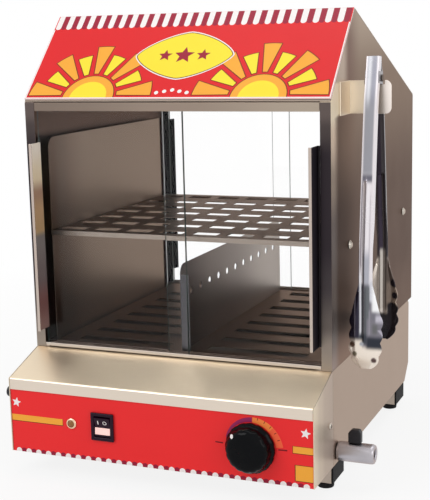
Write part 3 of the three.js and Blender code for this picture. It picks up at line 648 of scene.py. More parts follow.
def post_shade_steel():
    # Darker through the middle of the height, lighter near the foot and the top: painted shade
    stops = [(0.0, (150, 138, 126)), (0.07, (138, 127, 118)), (0.13, (96, 88, 84)),
             (0.25, (66, 60, 62)), (0.36, (52, 46, 50)), (0.6, (52, 46, 50)),
             (0.68, (76, 68, 67)), (0.72, (98, 87, 84)), (1.0, (100, 89, 87))]
    return graded("Corner Post Steel", "cabinet_left_side", "Z", "Z", stops, 0.32)


def base_steel():
    return sheet_steel("Base Steel", tuple(colours().base), "Y", 0.34)


def cheek_lit_steel():
    # Pale at the front and darker towards the rear: painted light
    stops = [(0.0, (226, 213, 190)), (0.35, (200, 186, 168)), (0.6, (184, 169, 154)),
             (1.0, (178, 163, 150))]
    return graded("Cheek Steel", "right_cheek", "Y", "Y", stops, 0.34, metal=0.6)


def deck_steel():
    low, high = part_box("serving_deck")
    deck = Vector(colours().deck)
    # Darker towards the left end: painted reflection
    stops = [(0.0, deck * 0.82), (0.3, deck * 0.94), (0.5, deck), (1.0, deck)]
    return sheet_steel("Deck Steel", None, "X", 0.42, 0.1, 0.08,
                       along=("X", low.x, high.x, stops))


def header_lit_steel():
    # Lighter towards the right: painted light
    stops = [(0.0, (128, 114, 104)), (0.5, (150, 134, 122)), (1.0, (170, 156, 141))]
    return graded("Header Steel", "front_header", "X", "X", stops)


def divider_shade_steel():
    # Darker towards the front: painted shade
    stops = [(0.0, (92, 88, 90)), (0.3, (126, 122, 120)), (1.0, (170, 166, 162))]
    return graded("Divider Steel", "centre_divider", "Y", "Y", stops, 0.34, 0.1, 0.2)


def edge_highlight_steel(name, node, bright, tone):
    """Sheet whose front edge is painted bright over its first millimetres of depth: a painted
    highlight.
    """
    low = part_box(node)[0].y
    reach = 2.8 * MM
    stops = [(0.0, bright), (0.45, bright), (0.55, tone), (1.0, tone)]
    return sheet_steel(name, None, "X", 0.34, 0.1, 0.2, 0.5, along=("Y", low, low + reach, stops))


def side_liner_steel():
    """The liner's last strip is painted near black: painted shade of the dark gap behind the rear
    doors' rail.
    """
    tone, dark = (146, 130, 118), (14, 15, 20)
    stops = [(0.0, (112, 98, 90)), (0.3, tone), (0.945, tone), (0.955, dark), (1.0, dark)]
    return graded("Side Liner Steel", "left_liner", "Y", "Y", stops, 0.34, 0.1, 0.2, 0.5)


def tab_shade_steel():
    # Cream, with a darker band where the tongs' arm stands before it: painted shade and reflection
    # of the arm
    stops = [(0.0, (255, 244, 226)), (0.05, (244, 233, 214)), (0.3, (226, 214, 196)),
             (0.44, (204, 192, 170)), (0.7, (236, 226, 216)), (1.0, (246, 236, 228))]
    return graded("Tab Steel", "tong_tab", "X", "X", stops, 0.34)


def black_satin():
    return moulded("Black Satin", tint(22, 20, 26), 0.4, dust=0.06)


def rubber():
    return moulded("Black Rubber", tint(14, 12, 14), 0.65, skin=1500.0, bump=0.2, dust=0.06,
                   gloss=0.18)


# Stage

CAMERA_PLACE = (548.8, -1198.3, 370.1)
CAMERA_FORWARD = Vector((-0.37682, 0.90851, -0.18059))
CAMERA_RIGHT = Vector((0.92508, 0.37905, -0.02336))
PHOTO_FOCAL_PIXELS = 1155.14
PHOTO_LONG_SIDE_PIXELS = 500

# Each softbox: name, place, width and height, power
SOFTBOXES = [
    ("Key Softbox", (-1.3, -1.9, 1.9), (1.4, 1.1), 22),
    ("Fill Softbox", (2.2, -1.2, 1.2), (1.2, 1.4), 10),
    ("Top Softbox", (0.1, 0.4, 2.3), (1.8, 1.8), 14),
]
LAMP_TARGET = Vector((0, 0, 0.25))
AMBIENT = 0.55

# The floor shows its shading near the steamer and fades to white further out
FADE_START, FADE_END = 0.35, 1.3
NEAR_WHITE = 0.86


class STEAMER_OT_stage(bpy.types.Operator):
    """Make the camera, the floor, the lamps and the world"""
    bl_idname = "steamer.stage"
    bl_label = "Stage"

    def execute(self, context):
        add_camera()
        add_floor()
        for box in SOFTBOXES:
            add_lamp(*box)
        set_world()
        context.scene.view_settings.view_transform = "Standard"
        return {"FINISHED"}


def add_camera():
    data = bpy.data.cameras.new("Camera")
    data.sensor_width = 36
    data.lens = PHOTO_FOCAL_PIXELS * data.sensor_width / PHOTO_LONG_SIDE_PIXELS
    camera = linked("Camera", data)
    right = (CAMERA_RIGHT - CAMERA_FORWARD * CAMERA_RIGHT.dot(CAMERA_FORWARD)).normalized()
    forward = CAMERA_FORWARD.normalized()
    turn = Matrix((right, right.cross(forward), -forward)).transposed().to_4x4()
    camera.matrix_world = Matrix.Translation(at(*CAMERA_PLACE)) @ turn
    bpy.context.scene.camera = camera


def seen_directly(add):
    """1 for what the camera sees straight, in a mirror or through glass."""
    path = add("LightPath")
    seen = path.outputs["Is Camera Ray"]
    for ray in ("Is Glossy Ray", "Is Transmission Ray"):
        seen = add("Math", "MAXIMUM", i0=seen, i1=path.outputs[ray]).outputs[0]
    return seen


def add_floor():
    deselect()
    bpy.ops.mesh.primitive_plane_add(size=60, location=(0, 0, -0.0003))
    floor = settle(bpy.context.object)
    finish, tree, shader, add = start_finish("Pale Floor")
    place = own_place(add)
    feed(tree, shader, Roughness=0.9, Specular_IOR_Level=0.0,
         Base_Color=mottle(add, noise(add, place, 3.0), [0.82] * 3, [0.85] * 3))
    white = add("Emission", Color=(1, 1, 1, 1), Strength=1.0)
    distance = add("VectorMath", "LENGTH", i0=place)
    fading = spread(add, distance.outputs["Value"], FADE_START, FADE_END, NEAR_WHITE)
    share = add("Math", "MULTIPLY", i0=seen_directly(add), i1=fading)
    blended(add, tree, share.outputs[0], shader, white)
    done("floor", floor, finish)


def add_lamp(name, place, size, power):
    data = bpy.data.lights.new(name, "AREA")
    data.shape = "RECTANGLE"
    data.size, data.size_y = size
    data.energy = power
    lamp = linked(name, data)
    lamp.location = place
    lamp.rotation_euler = (LAMP_TARGET - Vector(place)).to_track_quat("-Z", "Y").to_euler()


def set_world():
    world = bpy.data.worlds.new("Studio")
    bpy.context.scene.world = world
    world.use_nodes = True
    tree = world.node_tree
    tree.nodes.clear()
    add = nodes_of(tree)
    ambient, backdrop = (add("Background", Color=(1, 1, 1, 1), Strength=strength)
                         for strength in (AMBIENT, 1.0))
    mix = add("MixShader", Fac=seen_directly(add), i1=ambient.outputs[0],
              i2=backdrop.outputs[0])
    add("OutputWorld", Surface=mix.outputs[0])


# Housing

# The share of a face's normal along an axis above which the face looks that way
FACING = 0.7
# How far from the sheet's end, in millimetres, the outer face of a corner post can lie
POST_REACH = 1.5
OUTER, POST, INNER, REAR_POST = range(4)


class STEAMER_OT_housing(bpy.types.Operator):
    """Dress the cabinet's sides, roof, headers, sills, divider, liners and the base's sheets"""
    bl_idname = "steamer.housing"
    bl_label = "Housing"

    def execute(self, context):
        for side in ("left", "right"):
            dress_cabinet_side(side)
            dressed(f"base_{side}_panel", "steel", base_steel())
            dressed(f"{side}_cheek", "steel", cheek_lit_steel())
            dressed(f"{side}_liner", "steel", side_liner_steel())
        dressed("roof_cover", "steel", base_steel())
        dressed("base_rear_panel", "steel", base_steel())
        dressed("centre_divider", "steel", divider_shade_steel(), plain("Divider Fold Steel"),
                finish_of=lambda face: int(face.normal.y < -FACING))
        dressed("front_header", "steel", header_lit_steel())
        dressed("rear_header", "steel", header_lit_steel())
        dressed("front_sill_track", "steel", edge_highlight_steel(
            "Sill Steel", "front_sill_track", tint(200, 190, 180), tint(118, 103, 95)))
        dressed("rear_sill_track", "steel", header_lit_steel())
        return {"FINISHED"}


def dress_cabinet_side(side):
    """The side sheet, with its inner face in a tone of its own, its front corner posts toned with
    painted shade, and its rear posts painted near black as painted shade.
    """
    node = f"cabinet_{side}_side"
    front, back = (corner.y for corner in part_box(node))
    inward = 1 if side == "left" else -1

    def finish_of(face):
        if abs(face.normal.y) > FACING and face.center.y < front + POST_REACH * MM:
            return POST
        if face.normal.y < -FACING and face.center.y > back - POST_REACH * MM:
            return REAR_POST
        return INNER if face.normal.x * inward > FACING else OUTER

    dressed(node, "steel", side_steel(side), post_shade_steel(), plain("Inner Side Steel"),
            plain("Rear Post Steel"), finish_of=finish_of)


# Printed film

# Inks beside those of the colour settings, as screen colours
FIXED_INKS = {
    # The panel's red is the sign's red film painted brighter, for the less light on the panel's
    # forward face: painted light
    "Violet": (150, 34, 92), "Hem": (150, 20, 52), "Panel Red": (240, 44, 46),
    "Dial Amber": (250, 138, 66), "Dial Orange": (248, 100, 62), "Dark Red": (120, 14, 22),
}
STAR_INNER_SHARE = 0.45


def ink(name):
    """A print's finish, by the name of a fixed ink or of one of the colour settings."""
    tone = tint(*FIXED_INKS[name]) if name in FIXED_INKS else getattr(colours(), name.lower())
    return printed(name + " Print", tuple(tone))


def panel_frame(x=0.0, z=0.0):
    """Panel millimetres: across, up, and out of the front face."""
    turn = Matrix(((1, 0, 0), (0, 0, -1), (0, 1, 0))).to_4x4()
    return placed(x, PANEL_FACE, z, turn)


def spoke(cx, cy, radius, angle):
    """A point at a distance from a centre, in degrees clockwise from straight up."""
    turn = math.radians(angle)
    return (cx + radius * math.sin(turn), cy + radius * math.cos(turn))


def around(cx, cy, radius, start, end, steps):
    """Points on an arc from one angle to another."""
    return [spoke(cx, cy, radius, start + (end - start) * i / steps) for i in range(steps + 1)]


def bar(x0, y0, x1, y1):
    return [(x0, y0), (x1, y0), (x1, y1), (x0, y1)]


def star(cx, cy, radius, lean=0.0):
    """A plain five-pointed star."""
    return [spoke(cx, cy, radius * (STAR_INNER_SHARE if i % 2 else 1), lean + 36 * i)
            for i in range(10)]


def print_films(matrix, *films, body="housing"):
    """Prints films, each a name, its flat shapes, how many films lie under it and its ink."""
    film = sizes().film / MM
    for name, shapes, under, colour in films:
        pieces = [thicken(polygon(points), film) for points in shapes]
        piece = settle(joined(*pieces), matrix @ Matrix.Translation((0, 0, under * film)))
        done(name, piece, ink(colour), weighted=False)
        carried(piece, body)


# Sign

# The sign's outer face runs from the eave to the ridge
SIGN_EAVE = (0.0, 303.6)
SIGN_RIDGE = (94.4, 400.6)
SIGN_LENGTH = math.dist(SIGN_EAVE, SIGN_RIDGE)
SIGN_MARGIN = 0.4
BAND_LOW = 112.5
BAND_HIGH = SIGN_LENGTH - SIGN_MARGIN
BORDER_FOOT, BORDER = 0.5, 2.2
BORDER_SIDE = 1.4

SUN_X = 106.0
SUN_RAYS = 9
SUN_INNER, SUN_OUTER = 37.0, 80.0
SHORT_RAY_SHARE = 0.84
RAY_HALF_NEAR, RAY_HALF_FAR = 4.0, 7.5
SUN_DISC_INSET, SUN_CORE_INSET = 3, 13
OUTLINE = 1.1

BADGE_X, BADGE_Y = 0.0, 66.0
BADGE_WIDE, BADGE_TALL = 60.0, 35.0
BADGE_BOW = 0.72
BADGE_STEPS = 48
BADGE_RIM = 1.6
# Across from the badge's middle, and radius
BADGE_STARS = [(-24, 9), (0, 13), (24, 9)]
DOT_PITCH, DOT_RADIUS = 9.5, 2.6
DOT_HEIGHT, DOT_FALL = 13, 2


def sign_frame():
    """Sign millimetres: across, up the slope from the eave, and out of the face."""
    run = (SIGN_RIDGE[0] - SIGN_EAVE[0]) / SIGN_LENGTH
    rise = (SIGN_RIDGE[1] - SIGN_EAVE[1]) / SIGN_LENGTH
    turn = Matrix(((1, 0, 0), (0, run, -rise), (0, rise, run))).to_4x4()
    return placed(0, *SIGN_EAVE, turn)


def awning_stripes(first):
    """Every second stripe of the band along the ridge, each with a rounded lower end."""
    width = sizes().stripe / MM
    count = int(2 * HALF_WIDTH / width)
    shapes = []
    for i in range(first, count, 2):
        x0 = (i - count / 2) * width
        lower = around(x0 + width / 2, BAND_LOW + width / 2, width / 2, 270, 90, 10)
        shapes.append([(x0, BAND_HIGH), *lower, (x0 + width, BAND_HIGH)])
    return shapes


def suns(first, step, grow, inset):
    """Both rising suns: tapering rays, and a half disc inset from the rays' inner ends."""
    shapes = []
    for cx in (-SUN_X, SUN_X):
        for i in range(first, SUN_RAYS, step):
            middle = -90 + 180 * (i + 0.5) / SUN_RAYS
            far = SUN_OUTER * (SHORT_RAY_SHARE if i % 2 else 1) + grow
            near = SUN_INNER - grow
            half_near = RAY_HALF_NEAR + math.degrees(grow / near)
            half_far = RAY_HALF_FAR + math.degrees(grow / far)
            shapes.append(around(cx, BORDER, near, middle - half_near, middle + half_near, 2)
                          + around(cx, BORDER, far, middle + half_far, middle - half_far, 4))
    return shapes + [around(cx, BORDER, SUN_INNER - inset, -90, 90, 28)
                     for cx in (-SUN_X, SUN_X)]


def badge(grow):
    """A lozenge with four bowed sides."""
    points = []
    for i in range(BADGE_STEPS):
        angle = 2 * math.pi * i / BADGE_STEPS
        across, up = (math.copysign(abs(value) ** (1 / BADGE_BOW), value)
                      for value in (math.cos(angle), math.sin(angle)))
        points.append((BADGE_X + (BADGE_WIDE + grow) * across,
                       BADGE_Y + (BADGE_TALL + grow) * up))
    return points


class STEAMER_OT_sign(bpy.types.Operator):
    """Dress the sign and print a plain fairground pattern on it"""
    bl_idname = "steamer.sign"
    bl_label = "Sign"

    def execute(self, context):
        matrix = sign_frame()
        out = matrix.to_3x3().col[2].normalized()
        dressed("sign_panel", "red_print", ink("Red"), ink("White"),
                finish_of=lambda face: int(abs(face.normal.dot(out)) <= FACING))
        edge = HALF_WIDTH - SIGN_MARGIN
        border = [bar(-edge, BORDER_FOOT, edge, BORDER),
                  bar(-edge, BORDER, -edge + BORDER_SIDE, BAND_LOW),
                  bar(edge - BORDER_SIDE, BORDER, edge, BAND_LOW)]
        stars = [star(BADGE_X + x, BADGE_Y, radius) for x, radius in BADGE_STARS]
        dots = [around(DOT_PITCH * i, DOT_HEIGHT - DOT_FALL * abs(i), DOT_RADIUS, 0, 360, 28)[:-1]
                for i in range(-2, 3)]
        print_films(
            matrix,
            ("sign_border", border, 0, "White"),
            ("awning_white", awning_stripes(0), 0, "White"),
            ("awning_crimson", awning_stripes(1), 0, "Crimson"),
            ("sun_outlines", suns(0, 1, OUTLINE, SUN_DISC_INSET), 0, "Outline"),
            ("sun_orange", suns(0, 2, 0, SUN_DISC_INSET + OUTLINE), 1, "Orange"),
            ("sun_yellow", suns(1, 2, 0, SUN_CORE_INSET), 2, "Yellow"),
            ("badge_outline", [badge(OUTLINE + BADGE_RIM)], 3, "White"),
            ("badge_edge", [badge(OUTLINE)], 4, "Outline"),
            ("badge_ground", [badge(0)], 5, "Yellow"),
            ("badge_stars", stars, 6, "Crimson"),
            ("sign_dots", dots, 0, "White"))
        return {"FINISHED"}


# Control panel

LAMP_X, LAMP_Z = -107.5, -70.5
SWITCH_X, SWITCH_Z = -66.3, -70.3
KNOB_X, KNOB_Z = 116.8, -74.0
PANEL_EDGE = 188.4
PANEL_BOTTOM = -112.9
SCALLOP_PITCH = 13.4
SCALLOP_LIFT = 0.9
SCALLOP_RADIUS, HEM_RADIUS = 3.7, 4.0
PANEL_STARS = [(-181.4, -51.8), (180, -51.1)]
DIAL_INNER = 29.3
TICK_NEAR, TICK_FAR = 33.0, 36.0
LIMIT_TICK_FAR = 42.2


def scallop(x, radius):
    """One scallop of the hem, cut off at the panel's lower edge."""
    dip = math.degrees(math.asin(SCALLOP_LIFT / radius))
    return around(x, PANEL_BOTTOM + SCALLOP_LIFT, radius, -90 - dip, 90 + dip, 18)


def dial_arc(start, end, first_width, last_width, steps=16):
    """A band round the knob whose width changes evenly from one end to the other."""
    outer = []
    for i in range(steps + 1):
        share = i / steps
        width = first_width + (last_width - first_width) * share
        outer.append(spoke(KNOB_X, KNOB_Z, DIAL_INNER + width, start + (end - start) * share))
    return outer + around(KNOB_X, KNOB_Z, DIAL_INNER, end, start, steps)


def dial_tick(angle, near, far, width):
    """A short bar that points at the knob's middle."""
    out, side = Vector(spoke(0, 0, 1, angle)), Vector(spoke(0, 0, 1, angle + 90))
    centre = Vector((KNOB_X, KNOB_Z))
    corners = [(near, -1), (far, -1), (far, 1), (near, 1)]
    return [tuple(centre + out * reach + side * (hand * width / 2)) for reach, hand in corners]


class STEAMER_OT_control_panel(bpy.types.Operator):
    """Dress the control panel and print its plain stripes, stars, scallops and dial"""
    bl_idname = "steamer.control_panel"
    bl_label = "Control panel"

    def execute(self, context):
        dressed("control_panel", "red_print", ink("Panel Red"))
        stripes = [bar(-PANEL_EDGE, -74.3, -119.5, -66.8), bar(165.6, -74.3, PANEL_EDGE, -66.8),
                   bar(168.3, -105.7, PANEL_EDGE, -88.2)]
        shadows = [bar(-PANEL_EDGE, -75.1, -119.0, -66.8), bar(165.0, -75.1, PANEL_EDGE, -66.4),
                   bar(167.3, -106.5, PANEL_EDGE, -87.6)]
        count = int(2 * PANEL_EDGE / SCALLOP_PITCH)
        places = [(i - (count - 1) / 2) * SCALLOP_PITCH for i in range(count)]
        hem = [scallop(x + SCALLOP_PITCH / 2, HEM_RADIUS) for x in places[:-1]]
        ticks = [dial_tick(-87, TICK_NEAR, LIMIT_TICK_FAR, 1.5),
                 dial_tick(88, TICK_NEAR - 1, LIMIT_TICK_FAR, 1.5)]
        ticks += [dial_tick(angle, TICK_NEAR, TICK_FAR, 0.7) for angle in range(14, 84, 14)]
        print_films(
            panel_frame(),
            ("panel_stripe_edges", shadows, 0, "Outline"),
            ("panel_stripes", stripes, 1, "Orange"),
            ("panel_stars", [star(*place, 6.2, lean=10) for place in PANEL_STARS], 0, "White"),
            ("panel_hem", hem, 0, "Hem"),
            ("panel_scallops", [scallop(x, SCALLOP_RADIUS) for x in places], 1, "White"),
            ("dial_violet", [dial_arc(-72, 3, 1.6, 5.6)], 0, "Violet"),
            ("dial_amber", [dial_arc(4, 46, 5.8, 7.2)], 0, "Dial Amber"),
            ("dial_orange", [dial_arc(46, 84, 7.2, 8.4)], 0, "Dial Orange"),
            ("dial_ticks", ticks, 1, "Dark Red"))
        return {"FINISHED"}


# Serving deck

LIP_Y, LIP_Z = -68.5, -22.3
LIP_INNER_DROP = 1.37
FOLD_HALF_ANGLE = 36


def round_fold(piece, y, z, offset, reach):
    """Rounds the fold that runs along X at a place, within a reach in millimetres."""
    spot = at(0, y, z)

    def on_fold(line):
        ends = [piece.data.vertices[i].co for i in line.vertices]
        return all(math.hypot(end.y - spot.y, end.z - spot.z) < reach * MM for end in ends)

    edit_lines(piece, on_fold,
               lambda: bpy.ops.mesh.bevel(offset=offset, segments=5, affect="EDGES"))


class STEAMER_OT_deck(bpy.types.Operator):
    """Make the serving deck with its rounded folds and its bright lip"""
    bl_idname = "steamer.deck"
    bl_label = "Serving deck"

    def execute(self, context):
        piece = merged_copy("serving_deck")
        half_turn = math.tan(math.radians(FOLD_HALF_ANGLE))
        bend = sizes().bend
        round_fold(piece, LIP_Y, LIP_Z, bend * half_turn, 0.4)
        round_fold(piece, LIP_Y + 1, LIP_Z - LIP_INNER_DROP, (bend - MM) * half_turn, 0.5)
        bevel(piece, sizes().edge, angle=40)
        done("serving_deck_dressed", piece, deck_steel(), plain("Lip Steel"),
             finish_of=lambda face: int(face.normal.y < -0.9))
        carried(piece, "housing", "serving_deck")
        return {"FINISHED"}


# Doors

GROUND_EDGE = 0.0004
PULL_LIP_REACH = 1.3


class STEAMER_OT_doors(bpy.types.Operator):
    """Make the glass panes with their ground edges, and dress the finger pulls"""
    bl_idname = "steamer.doors"
    bl_label = "Doors"

    def execute(self, context):
        # The rear panes' edges are painted pale, painted light from the bright backdrop behind
        # them; the front edges keep the glass's dark green
        edges = {"front": moulded("Ground Glass Edge", tint(52, 66, 62), 0.35, dust=0.05),
                 "rear": moulded("Polished Glass Edge", tint(150, 160, 156), 0.2, dust=0.05)}
        for end, edge in edges.items():
            for side in ("left", "right"):
                door = f"{end}_{side}"
                dressed(f"{door}_pane", "glass", clear_glass("Door Glass"), edge,
                        body=f"{door}_door", width=GROUND_EDGE, name=f"{door}_pane_glass",
                        finish_of=lambda face: int(abs(face.normal.y) <= 0.9))
                dress_pull(door)
        return {"FINISHED"}


def dress_pull(door):
    """The pull's web and its finger lip: on the front pulls the lip is a painted highlight, the
    left web has painted reflections and the right web painted shade; the rear pulls are painted
    near black, painted shade.
    """
    low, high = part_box(f"{door}_pull")
    if door.startswith("front"):
        tip, lip = low.y, plain("Pull Lip Steel")
        web = pull_reflection_steel() if door == "front_left" else sheet_steel(
            "Shaded Pull Steel", tint(44, 40, 48), "Z", 0.4, metal=0.35)
    else:
        tip, web, lip = high.y, plain("Rear Post Steel"), plain("Rear Post Steel")
    dressed(f"{door}_pull", "steel", web, lip, body=f"{door}_door",
            finish_of=lambda face: int(abs(face.center.y - tip) < PULL_LIP_REACH * MM))


def pull_reflection_steel():
    # Painted reflections down the left front pull's web: rosy, grey and warm bands
    stops = [(0.0, (176, 140, 136)), (0.15, (150, 104, 102)), (0.3, (134, 120, 121)),
             (0.5, (142, 134, 132)), (0.54, (214, 178, 132)), (0.64, (220, 180, 136)),
             (0.74, (190, 150, 124)), (0.82, (250, 230, 196)), (1.0, (252, 240, 226))]
    return graded("Pull Steel", "front_left_pull", "Z", "Z", stops, 0.4, metal=0.5)


# Panel fittings

LAMP_RING = [(4.4, -11.7), (4.4, 2.1), (5.0, 2.1), (5.9, 1.7), (6.5, 1.0), (6.6, 0.3), (5.3, 0.3),
             (5.3, -11.7)]
LAMP_DOME = [(0, -11.7), (4.05, -11.7), (4.1, 1.6), (3.6, 2.3), (2.6, 2.9), (1.4, 3.3), (0, 3.4)]

ROCKER_TILT = 7.0
ROCKER_FRONT = 2.8
ROCKER_HOLLOW = 2.0
ROCKER_HALF_HEIGHT = 11.6

KNOB_POINTER = 43.0
KNOB_PROFILE = [(3.3, 13.2), (3.3, 1.0), (28.2, 1.0), (29.0, 1.6), (29.0, 4.2), (28.6, 5.2),
                (27.4, 6.2), (26.3, 7.6), (25.8, 9.5), (25.4, 12.0), (24.8, 14.2), (23.6, 16.2),
                (21.6, 17.8), (18.8, 18.9), (15.0, 19.5), (8.0, 19.9), (0, 20.0), (0, 13.2)]
KNOB_LOBES, KNOB_LOBE_DEPTH = 16, 1.0
KNOB_FACE_RADIUS = 23
PLAQUE_EDGE = 0.2
ARROW = [(-1.2, -2.6), (1.2, -2.6), (2.1, 0.4), (1.5, 1.9), (0, 3.0), (-1.5, 1.9), (-2.1, 0.4)]


class STEAMER_OT_lamp(bpy.types.Operator):
    """Make the indicator lamp's ring and its amber lens"""
    bl_idname = "steamer.lamp"
    bl_label = "Indicator lamp"

    def execute(self, context):
        matrix = panel_frame(LAMP_X, LAMP_Z)
        ring = done("lamp_bezel_ring", turned(LAMP_RING, 48, matrix), plain("Lamp Ring Steel"),
                    weighted=False)
        carried(ring, "housing", "lamp_bezel")
        amber = lit_plastic("Amber Lens", tint(140, 92, 34), tint(255, 170, 80), 0.03)
        lens = done("lamp_lens_dome", turned(LAMP_DOME, 48, matrix), amber, weighted=False)
        carried(lens, "housing", "lamp_lens")
        return {"FINISHED"}


def facet_frame(hand):
    """Rocker facet millimetres, for the upper (+1) or the lower (-1) half of its face."""
    slope = math.atan2(ROCKER_HOLLOW, ROCKER_HALF_HEIGHT) * hand
    tilt = Matrix.Rotation(math.radians(ROCKER_TILT), 4, "X")
    lift = Matrix.Translation((0, 0, ROCKER_FRONT - ROCKER_HOLLOW))
    return panel_frame(SWITCH_X, SWITCH_Z) @ tilt @ lift @ Matrix.Rotation(slope, 4, "X")


def plaque(name, points, thickness, offset, matrix, finish):
    """A small raised shape with rounded edges, made in millimetres."""
    piece = bevel(thicken(polygon(points), thickness, offset), PLAQUE_EDGE)
    return done(name, settle(piece, matrix), finish)


class STEAMER_OT_switch(bpy.types.Operator):
    """Make the rocker switch with its lit window and its on and off marks"""
    bl_idname = "steamer.switch"
    bl_label = "Power switch"

    def execute(self, context):
        plum = moulded("Switch Plastic", tint(36, 10, 30), 0.2, dust=0.02, gloss=0.15)
        moulding = sizes().moulding
        dressed("switch_housing", "black_plastic", plum, width=moulding)
        dressed("power_rocker", "black_plastic", plum, body="power_switch", width=moulding * 0.8)
        glow = lit_plastic("Lit Window", tint(250, 214, 208), tint(255, 190, 180), 0.35)
        window = plaque("rocker_window", bar(-9.7, -9.2, 9.7, -1.0), 0.5, 1.0, facet_frame(-1),
                        glow)
        carried(window, "power_switch")
        ring = around(3.6, 5.8, 2.5, 0, 350, 20) + around(3.6, 5.8, 1.7, 350, 0, 20)
        print_films(facet_frame(1),
                    ("rocker_on_mark", [bar(-5.6, 3.4, -4.4, 8.2)], 1, "White"),
                    ("rocker_off_mark", [ring], 1, "White"), body="power_switch")
        return {"FINISHED"}


class STEAMER_OT_knob(bpy.types.Operator):
    """Make the thermostat knob with its lobed skirt, domed face and white pointer"""
    bl_idname = "steamer.knob"
    bl_label = "Thermostat knob"

    def execute(self, context):
        matrix = panel_frame(KNOB_X, KNOB_Z) @ Matrix.Rotation(math.radians(KNOB_POINTER), 4, "Z")
        knob = turned(KNOB_PROFILE, 120)
        for vertex in knob.data.vertices:
            radius = math.hypot(vertex.co.x, vertex.co.y)
            if radius > KNOB_FACE_RADIUS:
                angle = math.atan2(vertex.co.x, vertex.co.y)
                lobe = abs(math.cos(angle * KNOB_LOBES / 2)) ** 0.6
                share = 1 - KNOB_LOBE_DEPTH * (1 - lobe) / radius
                vertex.co.x *= share
                vertex.co.y *= share
        gloss = moulded("Black Gloss", tint(6, 7, 10), 0.1, dust=0.01, gloss=0.08)
        done("thermostat_knob_body", settle(knob, matrix), gloss, angle=60, weighted=False)
        carried(knob, "heat_knob", "thermostat_knob")
        slope = Matrix.Translation((0, 22.8, 17.2)) @ Matrix.Rotation(math.radians(-42), 4, "X")
        arrow = plaque("knob_pointer", ARROW, 0.8, 0.6, matrix @ slope, ink("White"))
        carried(arrow, "heat_knob")
        return {"FINISHED"}


# Drain, gland, rails and feet

VALVE_Y, VALVE_Z = 20.0, -99.0
VALVE_PROFILE = [(0, 0.3), (9.4, 0.3), (10.6, 0.9), (11.3, 2.4), (11.4, 4.0), (11.4, 40.0),
                 (11.2, 42.2), (10.4, 43.8), (9.4, 44.3), (6.8, 44.3), (6.1, 43.6), (6.0, 42.6),
                 (6.0, 32.3), (0, 32.3)]


def side_frame(y, z):
    """Side millimetres for turned pieces: height along +X from the steamer's right side."""
    turn = Matrix(((0, 0, 1), (1, 0, 0), (0, 1, 0))).to_4x4()
    return placed(HALF_WIDTH, y, z, turn)


class STEAMER_OT_drain(bpy.types.Operator):
    """Make the drain valve's body and its black lever"""
    bl_idname = "steamer.drain"
    bl_label = "Drain valve"

    def execute(self, context):
        metal = sheet_steel("Valve Metal", tint(182, 178, 183), "X", 0.3, 0.1, 0.3,
                            cloud_scale=60.0)
        body = turned(VALVE_PROFILE, 64, side_frame(VALVE_Y, VALVE_Z))
        done("drain_valve_body_turned", body, metal, weighted=False)
        carried(body, "housing", "drain_valve_body")
        dressed("drain_lever", "black_plastic", black_satin(), body="drain_handle",
                width=0.0014, segments=3)
        return {"FINISHED"}


class STEAMER_OT_supports(bpy.types.Operator):
    """Dress the rails, end caps, feet and the cord gland"""
    bl_idname = "steamer.supports"
    bl_label = "Rails, feet and gland"

    def execute(self, context):
        for end in ("front", "rear"):
            dressed(f"{end}_rail", "steel", base_steel(), width=0.0006)
            for side in ("left", "right"):
                dressed(f"{end}_{side}_end_cap", "rubber", rubber(), width=0.0007)
                dressed(f"{end}_{side}_foot", "rubber", rubber(), width=0.0008)
        dressed("cord_gland", "black_plastic", black_satin(), width=0.0005)
        return {"FINISHED"}


# Fasteners

SCREW_Y, SCREW_Z = -10.0, -60.0
SLOT_TURN = 0.4


class STEAMER_OT_fasteners(bpy.types.Operator):
    """Dress the domed pegs and make the screws of the cheeks"""
    bl_idname = "steamer.fasteners"
    bl_label = "Pegs and screws"

    def execute(self, context):
        steel = plain("Bright Steel")
        for corner in ("front_left", "front_right", "rear_left", "rear_right"):
            dressed(f"{corner}_peg", "steel", steel, width=0.0006)
        screw = screw_head()
        middle = Matrix.Translation((MIDDLE, 0, 0))
        other = twin(screw, middle @ Matrix.Scale(-1, 4, (1, 0, 0)) @ middle.inverted())
        for piece, side in ((screw, "right"), (other, "left")):
            carried(done(f"{side}_cheek_screw", piece, steel), "housing")
        return {"FINISHED"}


def screw_head():
    """A pan head with a cross slot, on the right cheek."""
    radius = sizes().screw_radius / MM
    head = turned([(0, 0.05), (radius, 0.05), (radius, 0.9), (radius * 0.9, 1.6),
                   (radius * 0.6, 2.1), (0, 2.3)], 32)
    for turn in (SLOT_TURN, SLOT_TURN + math.pi / 2):
        deselect()
        bpy.ops.mesh.primitive_cube_add(size=1, location=(0, 0, 2.0), rotation=(0, 0, turn),
                                        scale=(radius * 1.1, radius * 0.22, 1.4))
        slot = bpy.context.object
        modify(head, "BOOLEAN", object=slot, operation="DIFFERENCE")
        bpy.data.objects.remove(slot)
    return settle(head, side_frame(SCREW_Y, SCREW_Z))


# Inside


class STEAMER_OT_inside(bpy.types.Operator):
    """Give the rack, trays, tank, heater, thermostat, pipe and floor their finishes"""
    bl_idname = "steamer.inside"
    bl_label = "Inside"

    def execute(self, context):
        kept("bun_rack", edge_highlight_steel("Rack Steel", "bun_rack", tint(160, 148, 138),
                                        tint(126, 109, 98)))
        for sheet, nodes in (("Liner Steel", ("left_steam_tray", "right_steam_tray")),
                             ("Inner Steel", ("water_tank", "drain_pipe", "base_floor")),
                             ("Heat Darkened Steel", ("heating_element", "thermostat"))):
            for node in nodes:
                kept(node, plain(sheet))
        return {"FINISHED"}


# Tongs: the front arm is side -1 and the rear arm is side +1 of the pin

